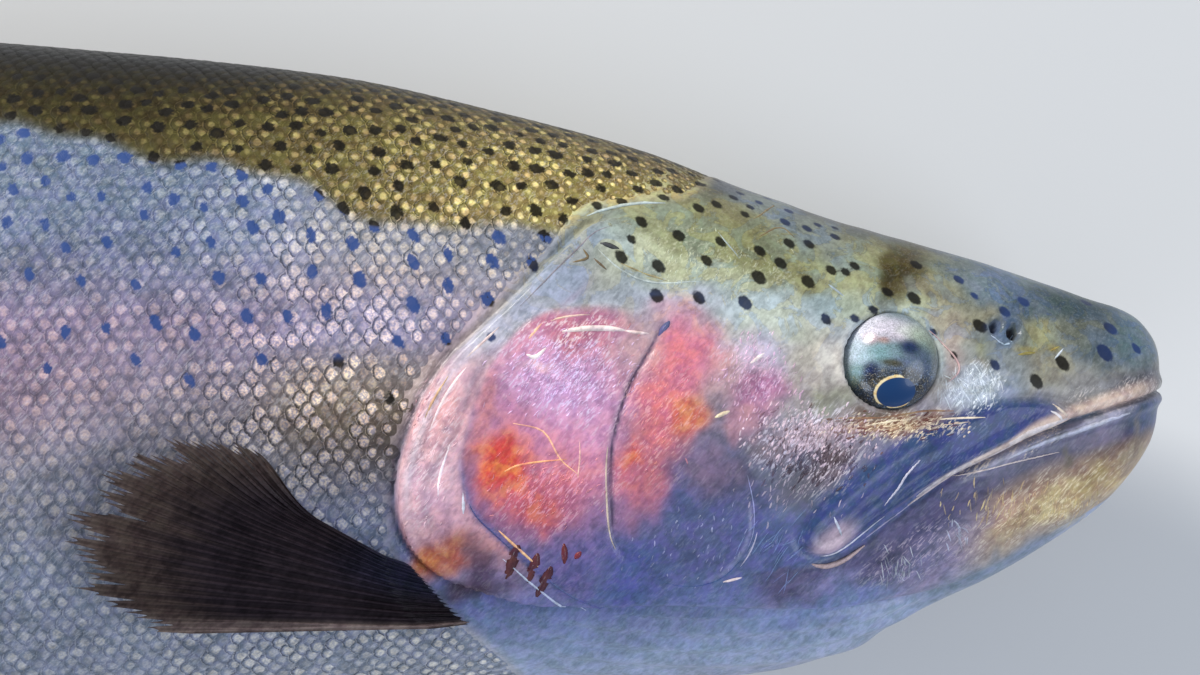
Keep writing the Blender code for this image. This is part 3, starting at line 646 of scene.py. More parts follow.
# Bright flecks, as washes are. Their colour is that of the flecks.
FLECK_WASHES = (
    (93, -9, 10, 6, -5, (0.92, 0.8, 0.9), 1.0), (70, -9, 18, 3.4, -4, (1.0, 0.84, 0.62), 1.0),
    (107, 6, 9, 7, 0, (0.74, 0.52, 0.72), 0.8), (150, 4, 16, 11, 28, (0.88, 0.72, 1.0), 0.9),
    # The first here is a painted glare along the top of the plate.
    (150, 13.5, 13, 3, 0, (1.0, 0.84, 0.84), 0.75), (34, -29, 25, 7, -25, (0.92, 0.8, 0.54), 0.65),
    # The first here is a painted highlight: white streaks before the eye.
    (53, 0, 8, 5, -10, (0.9, 0.95, 1.0), 1.0), (88, -18, 10, 6, -25, (0.8, 0.66, 0.72), 0.8),
    (100, -14, 8, 6, -25, (0.8, 0.72, 0.9), 0.7), (66, -41, 15, 6, -24, (0.66, 0.54, 0.66), 0.45),
    (130, -6, 10, 15, 0, (0.95, 0.52, 0.5), 0.45), (118, 30, 22, 7, 12, (0.66, 0.68, 0.46), 0.4),
    # The first here is a painted highlight: pale streaks on the gill cover's flap.
    (182, -8, 6, 22, 8, (0.92, 0.76, 0.8), 0.6), (60, -17, 18, 4, -38, (0.24, 0.34, 0.6), 0.15),
    (152, -24, 16, 7, -20, (0.92, 0.46, 0.6), 0.5), (15, -2, 14, 3.5, -12, (0.72, 0.6, 0.54), 0.6),
    (42, -14, 20, 2.2, -26, (0.92, 0.76, 0.6), 0.6),
)


# Thin raised lines beside the head's own edges: (edge, from share, to share, inwards, width, colour).
EDGE_LINES = (
    # On the plate's lower edge: painted shade in the two dark lines, and a painted highlight in pale orange.
    (plate_edge, 0.25, 0.37, 0.0, 0.5, (0.07, 0.08, 0.22)),
    (plate_edge, 0.2, 0.29, 1.3, 0.7, (0.95, 0.55, 0.28)),
    (plate_edge, 0.02, 0.18, 0.5, 0.5, (0.09, 0.12, 0.3)),
    (plate_edge, 0.07, 0.25, -3.0, 0.6, (0.5, 0.55, 0.72)),
    # These two lines are a painted glare along the top of the plate.
    (plate_edge, 0.79, 0.91, 5.4, 1.6, (0.92, 0.78, 0.74)),
    (plate_edge, 0.91, 0.95, 5.5, 0.9, (0.9, 0.72, 0.7)),
    (plate_edge, 0.77, 0.84, 2.4, 0.5, (0.82, 0.6, 0.48)),
    # The lines at 4.2, 9.5 and 2.6 inwards from the gill edge are painted highlights on its flap.
    (gill_edge, 0.61, 0.69, 4.2, 0.9, (0.95, 0.78, 0.8)),
    (gill_edge, 0.53, 0.6, 9.5, 0.8, (0.95, 0.84, 0.9)),
    (gill_edge, 0.62, 0.67, 2.2, 0.6, (0.7, 0.46, 0.22)),
    (gill_edge, 0.7, 0.75, 2.6, 0.8, (0.92, 0.7, 0.64)),
    (gill_edge, 0.78, 0.93, 2.5, 0.4, (0.25, 0.22, 0.24)),
    (gill_edge, 0.91, 1.0, -2.6, 0.9, (0.5, 0.58, 0.58)),
    # The first line here is painted shade in the cheek's groove, the second a painted glint beside it.
    (cheek_edge, 0.22, 0.46, 0.0, 0.5, (0.06, 0.1, 0.26)),
    (cheek_edge, 0.14, 0.24, -0.9, 0.4, (0.5, 0.48, 0.66)),
    (cheek_edge, 0.01, 0.2, 0.0, 0.4, (0.3, 0.32, 0.54)),
    (cheek_edge, 0.53, 0.71, -1.0, 0.5, (0.62, 0.52, 0.42)),
    (mouth_line, 0.31, 0.62, 1.3, 1.7, (0.58, 0.48, 0.44)),
    (mouth_line, 0.17, 0.46, -2.3, 1.4, (0.44, 0.46, 0.56)),
    (mouth_line, 0.55, 0.68, 0.6, 0.9, (0.66, 0.56, 0.56)),
    (jaw_crease, 0.05, 0.9, 0.7, 0.5, (0.68, 0.58, 0.55)),
    (blade_seam, 0.0, 1.0, 0.0, 0.6, (0.6, 0.58, 0.68)),
    (maxilla_rim, 0.6, 0.72, 2.8, 1.6, (0.56, 0.42, 0.42)),
    (maxilla_rim, 0.61, 0.76, 0.2, 0.8, (0.64, 0.64, 0.74)),
    (maxilla_rim, 0.72, 0.8, 1.8, 0.5, (0.4, 0.38, 0.56)),
    (eye_fold, 0.1, 0.9, 0.0, 0.5, (0.58, 0.38, 0.38)),
)
# Veins, folds, streaks and marks of the head's skin, and painted highlights on it: (width, colour, places along
# it).
SKIN_LINES = (
    (0.5, (0.95, 0.5, 0.33), ((163, -7.5), (156, -9.5), (152, -16), (148, -19.5))),
    (0.5, (0.95, 0.42, 0.22), ((165, -18.5), (161, -17), (150.5, -16))),
    (0.4, (0.85, 0.5, 0.42), ((147.5, -12), (147.5, -16), (148, -20.5))),
    # A painted glare on the plate.
    (1.1, (0.95, 0.82, 0.78), ((160, 8), (158, 7.5), (155.5, 9.5))),
    (0.7, (0.85, 0.48, 0.3), ((159.5, 11.5), (156.5, 15))),
    (1.7, (0.07, 0.1, 0.24), ((126.5, 16), (129, 12.5))),
    (0.8, (0.85, 0.7, 0.7), ((113.5, -46), (109, -45))),
    (2.8, (0.075, 0.018, 0.014), ((162, -35), (163, -38), (165, -43))),
    (2.4, (0.09, 0.02, 0.016), ((157.5, -37), (158.5, -40), (160, -44))),
    (2.6, (0.075, 0.018, 0.014), ((154.5, -40), (156, -43.5), (158, -47.5))),
    (1.8, (0.14, 0.022, 0.016), ((151.5, -35), (151.5, -39.5))),
    (1.5, (0.22, 0.03, 0.025), ((147.5, -37), (149, -38.5))),
    # A painted highlight on the gill cover's flap.
    (1.0, (0.74, 0.78, 0.9), ((174.5, -23), (174.5, -28))),
    (1.4, (0.03, 0.03, 0.04), ((143, 33.5), (138.5, 32.5))),
    (0.7, (0.2, 0.14, 0.06), ((147, 32), (146, 30), (149.5, 29))),
    (0.6, (0.17, 0.12, 0.06), ((144.5, 30), (141.5, 27.5))),
    (0.5, (0.38, 0.32, 0.16), ((138, 29), (127, 25.5))),
    (0.6, (0.48, 0.54, 0.52), ((143.5, 32), (138, 27.5), (130, 25), (119, 25.5))),
    (0.6, (0.19, 0.14, 0.07), ((104.5, 36.5), (99, 39), (95.5, 36.5))),
    (0.7, (0.2, 0.15, 0.08), ((105.5, 41), (98, 46))),
    (0.5, (0.36, 0.42, 0.42), ((114.5, 37.5), (109.5, 31))),
    (0.7, (0.36, 0.44, 0.5), ((88, 25), (84.5, 22))), (1.1, (0.92, 0.8, 0.8), ((107.5, 6), (104, 8.5))),
    # The second line here, at (31.5, 7), is a painted highlight on the snout.
    (1.1, (0.95, 0.8, 0.55), ((116, -6.5), (112.5, -5))), (0.5, (0.6, 0.66, 0.74), ((31.5, 7), (29, 9.5))),
    (0.5, (0.38, 0.29, 0.08), ((32.5, 9), (30, 10))), (0.8, (0.3, 0.24, 0.06), ((41, 8), (36.5, 8.5))),
    (0.5, (0.48, 0.58, 0.7), ((48, 12.5), (43.5, 10.5), (40, 15))),
    (0.6, (0.36, 0.2, 0.11), ((87, -7), (76, -7), (66, -5.5), (57.5, -5.5))),
    (0.7, (1.0, 0.84, 0.6), ((79, -9), (74, -8), (68, -7.5))),
    (0.7, (0.95, 0.8, 0.62), ((61.5, -7.5), (50, -7))), (0.4, (0.8, 0.62, 0.46), ((61.5, -9), (54, -8))),
    (0.8, (0.7, 0.6, 0.5), ((32.5, -4), (28.5, -7.5))),
    (2.2, (0.6, 0.55, 0.57), ((29.2, -7.2), (39.2, -10.7), (47.7, -15.2), (57, -19.8), (66, -26.4))),
    (0.8, (0.7, 0.68, 0.72), ((33.4, -5.6), (31.6, -6.6), (30.2, -8.2))),
    (0.8, (0.52, 0.58, 0.7), ((87, -30.5), (85, -35))),
)
# Sprays of short strokes: (behind, high, half length, half height, how many, length, width, tilt, colour).
SPRAYS = (
    (92, -11, 15, 6.5, 420, 1.2, 0.6, 120, (0.9, 0.7, 0.8)),
    (72, -9, 15, 2.6, 220, 1.4, 0.5, 150, (1.0, 0.82, 0.6)),
    (106, 3, 9, 8.5, 260, 1.4, 0.45, 115, (0.72, 0.46, 0.64)),
    (152, 4, 15, 8, 420, 1.3, 0.38, 130, (0.86, 0.64, 0.92)),
    # A painted highlight: pale streaks before the eye.
    (54, 0.5, 7, 4, 120, 3.4, 0.32, 66, (0.86, 0.92, 0.98)),
    (69.5, -44, 5, 4, 26, 4.0, 0.35, 80, (0.6, 0.64, 0.7)),
    (54, -37, 4, 3, 16, 3.0, 0.4, 65, (0.5, 0.54, 0.66)),
    (100, -39, 8, 8, 24, 6.0, 0.35, 125, (0.2, 0.28, 0.52)),
    (36, -29, 20, 5, 160, 2.4, 0.4, 95, (0.8, 0.62, 0.34)),
    # A painted highlight: pale streaks on the gill cover's flap.
    (183, -6, 5.5, 20, 160, 1.8, 0.4, 115, (0.86, 0.62, 0.68)),
    (90, -18, 12, 5, 160, 1.8, 0.6, 120, (0.07, 0.045, 0.06)),
    (118, 30, 18, 7, 90, 1.1, 0.35, 100, (0.6, 0.64, 0.46)),
    (156, -22, 12, 8, 120, 1.4, 0.36, 130, (0.82, 0.32, 0.36)),
    (129, -2, 9, 14, 110, 1.3, 0.36, 125, (0.8, 0.3, 0.32)),
    (120, -38, 18, 9, 60, 1.2, 0.4, 110, (0.34, 0.36, 0.56)),
    (97, -24, 14, 7, 70, 1.6, 0.45, 115, (0.46, 0.4, 0.5)),
    (74, -9, 16, 3.0, 130, 1.8, 0.6, 160, (0.16, 0.06, 0.04)),
    (92, -11, 14, 6, 90, 1.6, 0.5, 120, (0.12, 0.06, 0.06)),
)


def silver_line(behind):
    """The height at which the olive back turns to the silver flank: a real change of colour, drawn along the
    edge of a painted reflection of the sky.
    """
    height = np.interp(behind, [120, 150, 166, 190, 210, 250, 282, 370, 500, 640, 728, 772],
                       [44, 40, 37, 40, 47, 57, 61, 64, 54, 36, 28, 27])
    return height + 1.7 * np.sin(behind / 8.3) + 1.0 * np.sin(behind / 3.7 + 1)


# Washes of the flank behind the gill cover. The dark grey-blue ones low on the flank, at (206, -38) and (240,
# -22), are partly painted shade.
TRUNK_WASHES = (
    (195, 15, 22, 9, -4, (0.4, 0.37, 0.52), 0.7), (196, 1, 22, 9, 0, (0.5, 0.42, 0.39), 0.8),
    (198, -16, 16, 9, -10, (0.185, 0.165, 0.2), 0.7), (206, -38, 26, 15, -20, (0.15, 0.19, 0.33), 0.7),
    (240, -22, 30, 12, -5, (0.23, 0.24, 0.32), 0.6),
)
# Runs of colour by height, on the snout and on the gill cover's rear flap.
SNOUT_TONES = (
    (-4, (0.24, 0.22, 0.22)), (2, (0.23, 0.235, 0.215)), (8, (0.165, 0.18, 0.175)),
    (14, (0.12, 0.132, 0.122)), (20, (0.09, 0.12, 0.155)), (28, (0.095, 0.135, 0.185)),
)
FLAP_TONES = (
    (-52, (0.12, 0.15, 0.34)), (-42, (0.2, 0.16, 0.28)), (-36, (0.44, 0.22, 0.26)),
    (-29, (0.58, 0.33, 0.42)), (-18, (0.68, 0.42, 0.49)), (-4, (0.66, 0.35, 0.39)), (4, (0.56, 0.35, 0.4)),
    (11, (0.43, 0.43, 0.52)), (22, (0.33, 0.36, 0.44)), (34, (0.29, 0.32, 0.36)), (46, (0.28, 0.29, 0.24)),
)
# Runs of colour by depth below the mouth, on the jaw and on the throat behind it.
JAW_TONES = (
    (0, (0.3, 0.3, 0.37)), (4, (0.125, 0.125, 0.205)), (7, (0.06, 0.055, 0.115)), (10, (0.21, 0.145, 0.12)),
    (14, (0.36, 0.24, 0.17)), (19, (0.43, 0.305, 0.175)), (25, (0.33, 0.275, 0.24)),
    (31, (0.155, 0.19, 0.255)), (40, (0.14, 0.19, 0.31)),
)
THROAT_TONES = (
    (0, (0.1, 0.1, 0.2)), (7, (0.08, 0.075, 0.15)), (13, (0.165, 0.165, 0.28)), (19, (0.23, 0.205, 0.325)),
    (25, (0.235, 0.26, 0.36)), (31, (0.14, 0.2, 0.31)), (40, (0.145, 0.205, 0.37)),
)


def trunk_paint(behind, high, share):
    """The olive back over the silver flank, with a rose band along the rear of the flank."""
    fade = 1 - 0.68 * ease(180, 270, behind) + 0.9 * ease(205, 150, behind)
    # Behind the head the top of the back is made darker: partly its own dark olive, partly painted shade.
    deep = ease(195, 235, behind) * (0.96 - 0.22 * ease(290, 380, behind))
    dark_back_and_shade = 1 - deep * (1 - ease(0.05, 0.21, share))
    olive = graded(OLIVE, share) * (fade * dark_back_and_shade)[..., None]
    silver = graded(SILVER, share)
    silver = silver * (1 + np.outer(ease(225, 195, behind) * ease(0.80, 0.66, share), (0.22, 0.10, -0.12)))
    silver = silver * (1 - np.outer(ease(210, 245, behind) * ease(0.46, 0.34, share), (0.34, 0.27, 0.24)))
    band = ridge(high - 2 + 0.012 * (behind - 200), 15) * ease(215, 330, behind)
    silver = blend(silver, (0.500, 0.235, 0.330), 0.60 * band)
    silver = washed(silver, TRUNK_WASHES, behind, high)
    return blend(olive, silver, ease(2.2, -2.2, high - silver_line(behind)))


def flap_paint(colour, behind, high, plate, gill):
    """The gill cover's rear flap: rose below and grey-blue above, with a violet line and a pale rim that is a
    painted highlight.
    """
    flap = ease(-0.8, 0.4, gill) * (1 - ease(-1.2, 0.8, plate)) * ease(140, 152, behind)
    colour = blend(colour, graded(FLAP_TONES, high), flap)
    colour = blend(colour, (0.30, 0.20, 0.26), 0.45 * flap * ridge(gill - 8 + 2 * np.sin(high / 5), 0.9))
    # Painted highlight: a pale line just inside the flap's edge.
    return blend(colour, (0.90, 0.82, 0.88), 0.55 * flap * ridge(gill - 2.4, 0.9) * ridge(high + 8, 22))


def jaw_paint(colour, behind, mouth, gill):
    """The lower jaw and the throat, by how far below the mouth a place is."""
    jaw = (1 - ease(-1.0, 0.3, mouth)) * (1 - ease(98, 112, behind)) * ease(-1, 2, gill + 1)
    depth = blend(graded(JAW_TONES, -mouth), graded(THROAT_TONES, -mouth), ease(40, 58, behind))
    return blend(colour, depth, jaw)


def maxilla_paint(colour, behind, high, mouth):
    """The upper jaw's deep blue blade, with a pale lower rim and a rosy rear end."""
    blade = -beside(maxilla_rim, behind, high)[0]
    on_blade = ease(-1.5, 1.2, blade) * ease(28, 38, behind)
    colour = blend(colour, (0.036, 0.060, 0.170), 0.97 * on_blade)
    sheen = 0.5 * on_blade * ridge(blade - 3.5, 1.0) * ease(60, 75, behind)
    colour = blend(colour, (0.100, 0.135, 0.270), sheen)
    low_rim = between(-0.6, 0.2, 0.8, 2.0, blade) * (1 - ease(0.5, 2.8, mouth)) * ease(84, 60, behind)
    colour = blend(colour, (0.600, 0.510, 0.490), 0.95 * low_rim)
    return blend(colour, (0.520, 0.400, 0.480), 0.85 * on_blade * patch(behind, high, 87, -36, 6.5, 3, -35))


def lip_paint(colour, behind, mouth):
    """The pink upper lip, the grey-blue lower one and the gap between them, darkened as painted shade."""
    lips = (1 - ease(45, 62, behind)) * ease(-0.5, 1.5, behind)
    slim = ease(36, 46, behind)
    upper_lip = ease(6.0 - 0.05 * behind - 1.6 * slim, 2.4 - 1.2 * slim, mouth)
    upper_lip = upper_lip * ease(-0.5, 0.3, mouth) * ease(1, 12, behind)
    colour = blend(colour, (0.580, 0.430, 0.370), 0.95 * lips * upper_lip)
    lower_lip = ridge(mouth + 1.7, 1.35) * (1 - ease(-0.4, 0.2, mouth)) * ease(12, 22, behind)
    colour = blend(colour, (0.300, 0.300, 0.400), 0.80 * lips * lower_lip)
    # Painted shade in the mouth's slit.
    gap = ridge(mouth + 0.1, 0.55) * ease(16, 22, behind) * (1 - ease(30, 36, behind))
    return blend(colour, (0.090, 0.140, 0.230), 0.9 * gap)


def edge_paint(colour, behind, high, plate, plate_gone):
    """Painted shade in the cheek's groove and on the plate's rim, a painted glint, a pale rim before the eye,
    and painted light on the eye's socket wall.
    """
    groove, gone = beside(cheek_edge, behind, high)
    # Painted shade along the groove round the cheek.
    groove_shade = ridge(groove, 0.65) * ease(0.5, 0.62, gone) * ease(1.0, 0.97, gone)
    colour = blend(colour, (0.075, 0.070, 0.140), 0.85 * groove_shade)
    glint = ridge(groove - 0.9, 0.45) * ease(0.05, 0.12, gone) * ease(0.36, 0.26, gone)
    colour = blend(colour, (0.42, 0.42, 0.62), 0.35 * glint)
    # Painted shade along the lower half of the plate's rim.
    rim = ridge(plate, 0.6) * ease(0.0, 0.15, plate_gone) * ease(0.5, 0.3, plate_gone)
    colour = blend(colour, (0.09, 0.11, 0.30), 0.8 * rim)
    away = from_eye(behind, high)
    front_rim = ridge(away - 12.6, 1.3) * ease(76, 66, behind) * ease(0, 6, high)
    colour = blend(colour, (0.400, 0.470, 0.470), 0.8 * front_rim)
    # Painted light: the socket wall round the eye is made light grey, against the shade that falls in the gap
    # round the eyeball.
    return blend(colour, (0.300, 0.300, 0.280), 0.8 * (1 - ease(10.8, 11.8, away)))


def head_paint(behind, high, share):
    """The head's colours, one over the other: crown, cheek, plate, flap, jaw, maxilla, lips and edges."""
    near, level = wandering(behind, high)
    plate, plate_gone = beside(plate_edge, behind, high)
    gill = beside(gill_edge, behind, high)[0]
    mouth = beside(mouth_line, behind, high)[0]
    snout = (1 - ease(46, 64, behind)) * ease(-18, -2, high)
    colour = blend(graded(CROWN_TO_THROAT, share), graded(SNOUT_TONES, high), snout)
    colour = washed(colour, CROWN_WASHES, near, level)
    colour = washed(colour, CHEEK_WASHES, near, level)
    on_plate = ease(-1.2, 1.2, plate) * (1 - ease(16.5, 20.5, high)) * ease(128, 142, behind + 0.18 * high)
    colour = washed(colour, PLATE_WASHES, near, level, on_plate)
    colour = flap_paint(colour, behind, high, plate, gill)
    colour = washed(colour, GILL_WASHES, near, level)
    colour = jaw_paint(colour, behind, mouth, gill)
    colour = washed(colour, JAW_WASHES, near, level, 1 - ease(-1.5, 0.5, mouth))
    colour = maxilla_paint(colour, behind, high, mouth)
    colour = lip_paint(colour, behind, mouth)
    return edge_paint(colour, behind, high, plate, plate_gone)


def paint(behind, high, share):
    """The skin's colour at each place, with its painted light and shade, before its spots and fine grain."""
    colour = trunk_paint(behind, high, share)
    near = behind < HEAD_REACH
    bare = ease(-1.5, 3.0, ahead_of_scales(behind[near], high[near]))
    colour[near] = blend(colour[near], head_paint(behind[near], high[near], share[near]), bare)
    return np.clip(colour, 0.004, 0.95)


def flecks(behind, high):
    """The colour of the bright flecks at each place, and how strong they are."""
    tint = np.full(behind.shape + (3,), 0.75)
    strength = np.full(behind.shape, 0.05)
    near, level = wandering(behind, high)
    for x, y, long, tall, tilt, colour, amount in FLECK_WASHES:
        here = patch(near, level, x, y, long, tall, tilt)
        tint = blend(tint, colour, here)
        strength = np.maximum(strength, amount * here)
    return tint, strength


# ---------------- the dark spots
def spot_places():
    """The dark spots of both flanks as (behind, way round from the back, radius, lean, tallness)."""
    scatter = np.random.default_rng(11)
    placed = []
    cells = {}
    cell_size, tries = 12, 60000

    def crowded(x, y, room):
        i, j = int(x // cell_size), int(y // cell_size)
        for cell in ((i + a, j + b) for a in (-1, 0, 1) for b in (-1, 0, 1)):
            for other in cells.get(cell, ()):
                if math.hypot(x - other[0], y - other[1]) < room:
                    return True
        return False

    def add(x, y, radius, lean=0.0, tall=1.0):
        placed.append((x, y, radius, lean, tall))
        cells.setdefault((int(x // cell_size), int(y // cell_size)), []).append((x, y))

    for x, y, radius in HEAD_SPOTS:
        way = share_at(x, y) * float(flank.half_round_at(x))
        add(x, way, radius)
        add(x + scatter.uniform(-3, 3), -way + scatter.uniform(-3, 3), radius)
    behind = scatter.uniform(122, BODY_END, tries)
    share = scatter.uniform(0, 0.62, tries)
    side = scatter.choice((-1, 1), tries)
    chance = scatter.uniform(0, 1, tries)
    size = scatter.uniform(0, 1, tries)
    high = flank.place(behind, share)[1]
    fits = ahead_of_scales(behind, high) < 1
    sparse = ease(0.32, 0.52, share) * (1 - 0.75 * ease(520, 640, behind))
    room = 4.5 + 1.4 * ease(0.16, 0.24, share) + 2.8 * ease(0.28, 0.38, share) + 0.6 * ease(0.4, 0.6, share)
    radius = (1.32 + 0.46 * size) * (1 - 0.12 * ease(0.18, 0.3, share) * ease(205, 245, behind))
    way = side * share * flank.half_round_at(behind)
    for k in np.nonzero(fits & (chance > sparse))[0]:
        if not crowded(behind[k], way[k], room[k]):
            tall = (0.92 + 0.26 * float(ease(0.18, 0.34, share[k]))) * scatter.uniform(0.92, 1.10)
            add(float(behind[k]), float(way[k]), float(radius[k]), scatter.uniform(-0.1, 0.6), tall)
    return placed


spots = spot_places()
spot_tree = kdtree.KDTree(len(spots))
for number, spot in enumerate(spots):
    spot_tree.insert((spot[0], spot[1], 0), number)
spot_tree.balance()


def spot_distance(behind, way):
    """How far each place is from the nearest spot's edge: below 0 inside it, NO_SPOT far from them all."""
    found = np.full(len(behind), NO_SPOT)
    for k, (x, y) in enumerate(zip(behind.tolist(), way.tolist())):
        _, number, away = spot_tree.find((x, y, 0))
        if away < 5:
            spot_x, spot_way, radius, lean, tall = spots[number]
            dx, dy = x - spot_x, (y - spot_way) * (1 if y > 0 else -1)
            across = dx * math.cos(lean) + dy * math.sin(lean)
            down = dy * math.cos(lean) - dx * math.sin(lean)
            found[k] = math.hypot(across * tall, down / tall) - radius
    return found


# ---------------- shader building
def new_finish(name):
    """An empty material, and the calls that fill its tree."""
    finish = bpy.data.materials.new(name)
    finish.use_nodes = True
    finish.node_tree.nodes.clear()
    return finish, Nodes(finish.node_tree)


class Nodes:
    """Short calls that add nodes to a tree and link them."""

    def __init__(self, tree):
        self.tree = tree

    def put(self, socket, value):
        """Links an output to a socket, or sets the socket's own value."""
        if isinstance(value, bpy.types.NodeSocket):
            self.tree.links.new(value, socket)
        else:
            socket.default_value = value

    def add(self, kind, inputs=None, **settings):
        node = self.tree.nodes.new(kind)
        for key, value in settings.items():
            setattr(node, key, value)
        for key, value in (inputs or {}).items():
            self.put(node.inputs[key], value)
        return node

    def math(self, operation, a, b=0.0, c=0.0):
        return self.add("ShaderNodeMath", {0: a, 1: b, 2: c}, operation=operation).outputs[0]

    def plus(self, a, b):
        return self.math("ADD", a, b)

    def minus(self, a, b):
        return self.math("SUBTRACT", a, b)

    def times(self, a, b):
        return self.math("MULTIPLY", a, b)

    def ramp(self, value, low, high, to_low=0.0, to_high=1.0):
        """Smoothly from to_low at low to to_high at high."""
        inputs = {"Value": value, "From Min": low, "From Max": high, "To Min": to_low, "To Max": to_high}
        return self.add("ShaderNodeMapRange", inputs, interpolation_type="SMOOTHSTEP").outputs[0]

    def mix(self, amount, a, b, blend_type="MIX"):
        node = self.add("ShaderNodeMix", data_type="RGBA", blend_type=blend_type)
        for key, value in ((0, amount), (6, a), (7, b)):
            self.put(node.inputs[key], (*value, 1) if isinstance(value, tuple) else value)
        return node.outputs[2]

    def toned(self, colour, value, hue=0.5):
        """A colour made lighter by a factor, and turned in hue away from 0.5."""
        return self.add("ShaderNodeHueSaturation", {"Color": colour, "Value": value, "Hue": hue}).outputs[0]

    def attribute(self, name, output="Color"):
        return self.add("ShaderNodeAttribute", attribute_name=name).outputs[output]

    def parts(self, name):
        """The three parts of a vector attribute."""
        return self.add("ShaderNodeSeparateXYZ", {0: self.attribute(name, "Vector")}).outputs

    def object_place(self):
        return self.add("ShaderNodeTexCoord").outputs["Object"]

    def noise(self, where, size, detail=3.0, roughness=0.55, distortion=0.0):
        """Noise in cells about `size` millimetres across."""
        inputs = {"Vector": where, "Scale": 1 / UNIT / size, "Detail": detail, "Roughness": roughness,
                  "Distortion": distortion}
        return self.add("ShaderNodeTexNoise", inputs).outputs[0]

    def bump(self, height, distance, strength=1.0, normal=None):
        inputs = {"Height": height, "Distance": distance, "Strength": strength}
        if normal is not None:
            inputs["Normal"] = normal
        return self.add("ShaderNodeBump", inputs).outputs[0]

    def surface(self, inputs):
        """The material's own shader, and its output."""
        shader = self.add("ShaderNodeBsdfPrincipled", inputs)
        self.add("ShaderNodeOutputMaterial", {"Surface": shader.outputs[0]})


STREAK_TILT = math.radians(48)  # the bright flecks run forwards and up at this angle
# The amounts that the skin group takes, and their values where a material gives none.
SKIN_AMOUNTS = (
    ('Spot', 4.0), ('Mottle', 0.5), ('Flecks', 0.2), ('Grain', 0.5), ('Ragged', 0.3), ('Marble', 0.0),
    ('Blue ink', 0.0),
)


def name_skin_sockets(face):
    face.new_socket("Colour", in_out="INPUT", socket_type="NodeSocketColor")
    shine = face.new_socket("Shine", in_out="INPUT", socket_type="NodeSocketColor")
    shine.default_value = (0.8, 0.8, 0.85, 1)
    for label, value in SKIN_AMOUNTS:
        face.new_socket(label, in_out="INPUT", socket_type="NodeSocketFloat").default_value = value
    outputs = (("Colour", "Color"), ("Roughness", "Float"), ("Gloss", "Float"), ("Normal", "Vector"))
    for label, kind in outputs:
        face.new_socket(label, in_out="OUTPUT", socket_type=f"NodeSocket{kind}")


def make_skin_group():
    """The grain that skin, scales and fins share: mottled pigment, streaky flecks, dark spots and gloss."""
    group = bpy.data.node_groups.new("wet_fish_skin", "ShaderNodeTree")
    name_skin_sockets(group.interface)
    n = Nodes(group)
    given, leave = n.add("NodeGroupInput").outputs, n.add("NodeGroupOutput").inputs
    where = n.object_place()
    turn = {"Vector": where, "Angle": -STREAK_TILT}
    turned = n.add("ShaderNodeVectorRotate", turn, rotation_type="Z_AXIS").outputs[0]

    def drawn_out(stretch, size, detail, distortion=0.0):
        """Noise drawn out along the flecks."""
        drawn = n.add("ShaderNodeMapping", {"Vector": turned, "Scale": (stretch, 1.0, 1.0)}).outputs[0]
        return n.noise(drawn, size, detail, 0.6, distortion)

    streaks = drawn_out(0.22, 0.50, 3, 0.3)
    strokes = drawn_out(0.35, 1.5, 2, 0.6)
    broad = n.noise(where, 11, 3, 0.6)
    middle = n.noise(where, 3.2, 3, 0.6)
    fine = drawn_out(0.5, 0.9, 3)
    tone = n.plus(n.ramp(broad, 0.35, 0.65, -0.20, 0.20), n.ramp(middle, 0.40, 0.60, -0.24, 0.24))
    tone = n.plus(tone, n.ramp(fine, 0.38, 0.62, -0.20, 0.20))
    tone = n.plus(tone, n.ramp(strokes, 0.40, 0.60, -0.12, 0.12))
    tone = n.math("MULTIPLY_ADD", tone, given["Mottle"], 1.0)
    ground = n.toned(given["Colour"], tone, n.ramp(middle, 0.35, 0.65, 0.485, 0.515))
    marbling = n.noise(where, 8.5, 4, 0.62, 1.1)
    tint = n.mix(n.ramp(marbling, 0.48, 0.52), (1.10, 1.05, 0.86), (0.88, 0.95, 1.08))
    ground = n.mix(given["Marble"], ground, tint, "MULTIPLY")
    brink = n.ramp(n.math("ABSOLUTE", n.minus(marbling, 0.5)), 0.003, 0.010, 0.55, 0.0)
    ground = n.mix(n.times(brink, given["Marble"]), ground, (0.50, 0.42, 0.36), "MULTIPLY")
    bright = n.times(n.ramp(streaks, 0.50, 0.58), n.ramp(strokes, 0.42, 0.56, 0.15, 1.0))
    coloured = n.mix(n.times(bright, given["Flecks"]), ground, given["Shine"])

    ragged = n.times(n.ramp(fine, 0.25, 0.75, -1, 1), given["Ragged"])
    dark = n.ramp(n.plus(ragged, given["Spot"]), 0.35, -0.30)
    ink = n.mix(given["Blue ink"], (0.008, 0.007, 0.006), (0.030, 0.066, 0.215))
    n.put(leave["Colour"], n.mix(n.times(dark, 0.94), coloured, ink))
    n.put(leave["Gloss"], n.ramp(dark, 0.0, 1.0, 1.0, 0.1))
    n.put(leave["Roughness"], n.math("MULTIPLY_ADD", n.ramp(fine, 0.3, 0.7, -0.5, 0.5), 0.12, 0.36))
    height = n.plus(n.times(fine, 0.6), n.times(streaks, 0.4))
    n.put(leave["Normal"], n.bump(height, 0.20 * UNIT, n.times(given["Grain"], 0.6)))
    return group


skin_group = make_skin_group()


def blueness(n, colour, low, high):
    parts = n.add("ShaderNodeSeparateColor", {0: colour}).outputs
    return n.ramp(n.minus(parts[2], parts[0]), low, high)


def close_finish(n, group, normal, coat, coat_roughness, specular=0.10):
    """The shader over the skin group's outputs, with a wet coat that is thin on the spots."""
    n.surface({
        "Base Color": group.outputs["Colour"], "Roughness": group.outputs["Roughness"], "Normal": normal,
        "Coat Weight": n.times(group.outputs["Gloss"], coat), "Coat Roughness": coat_roughness,
        "Specular IOR Level": specular})


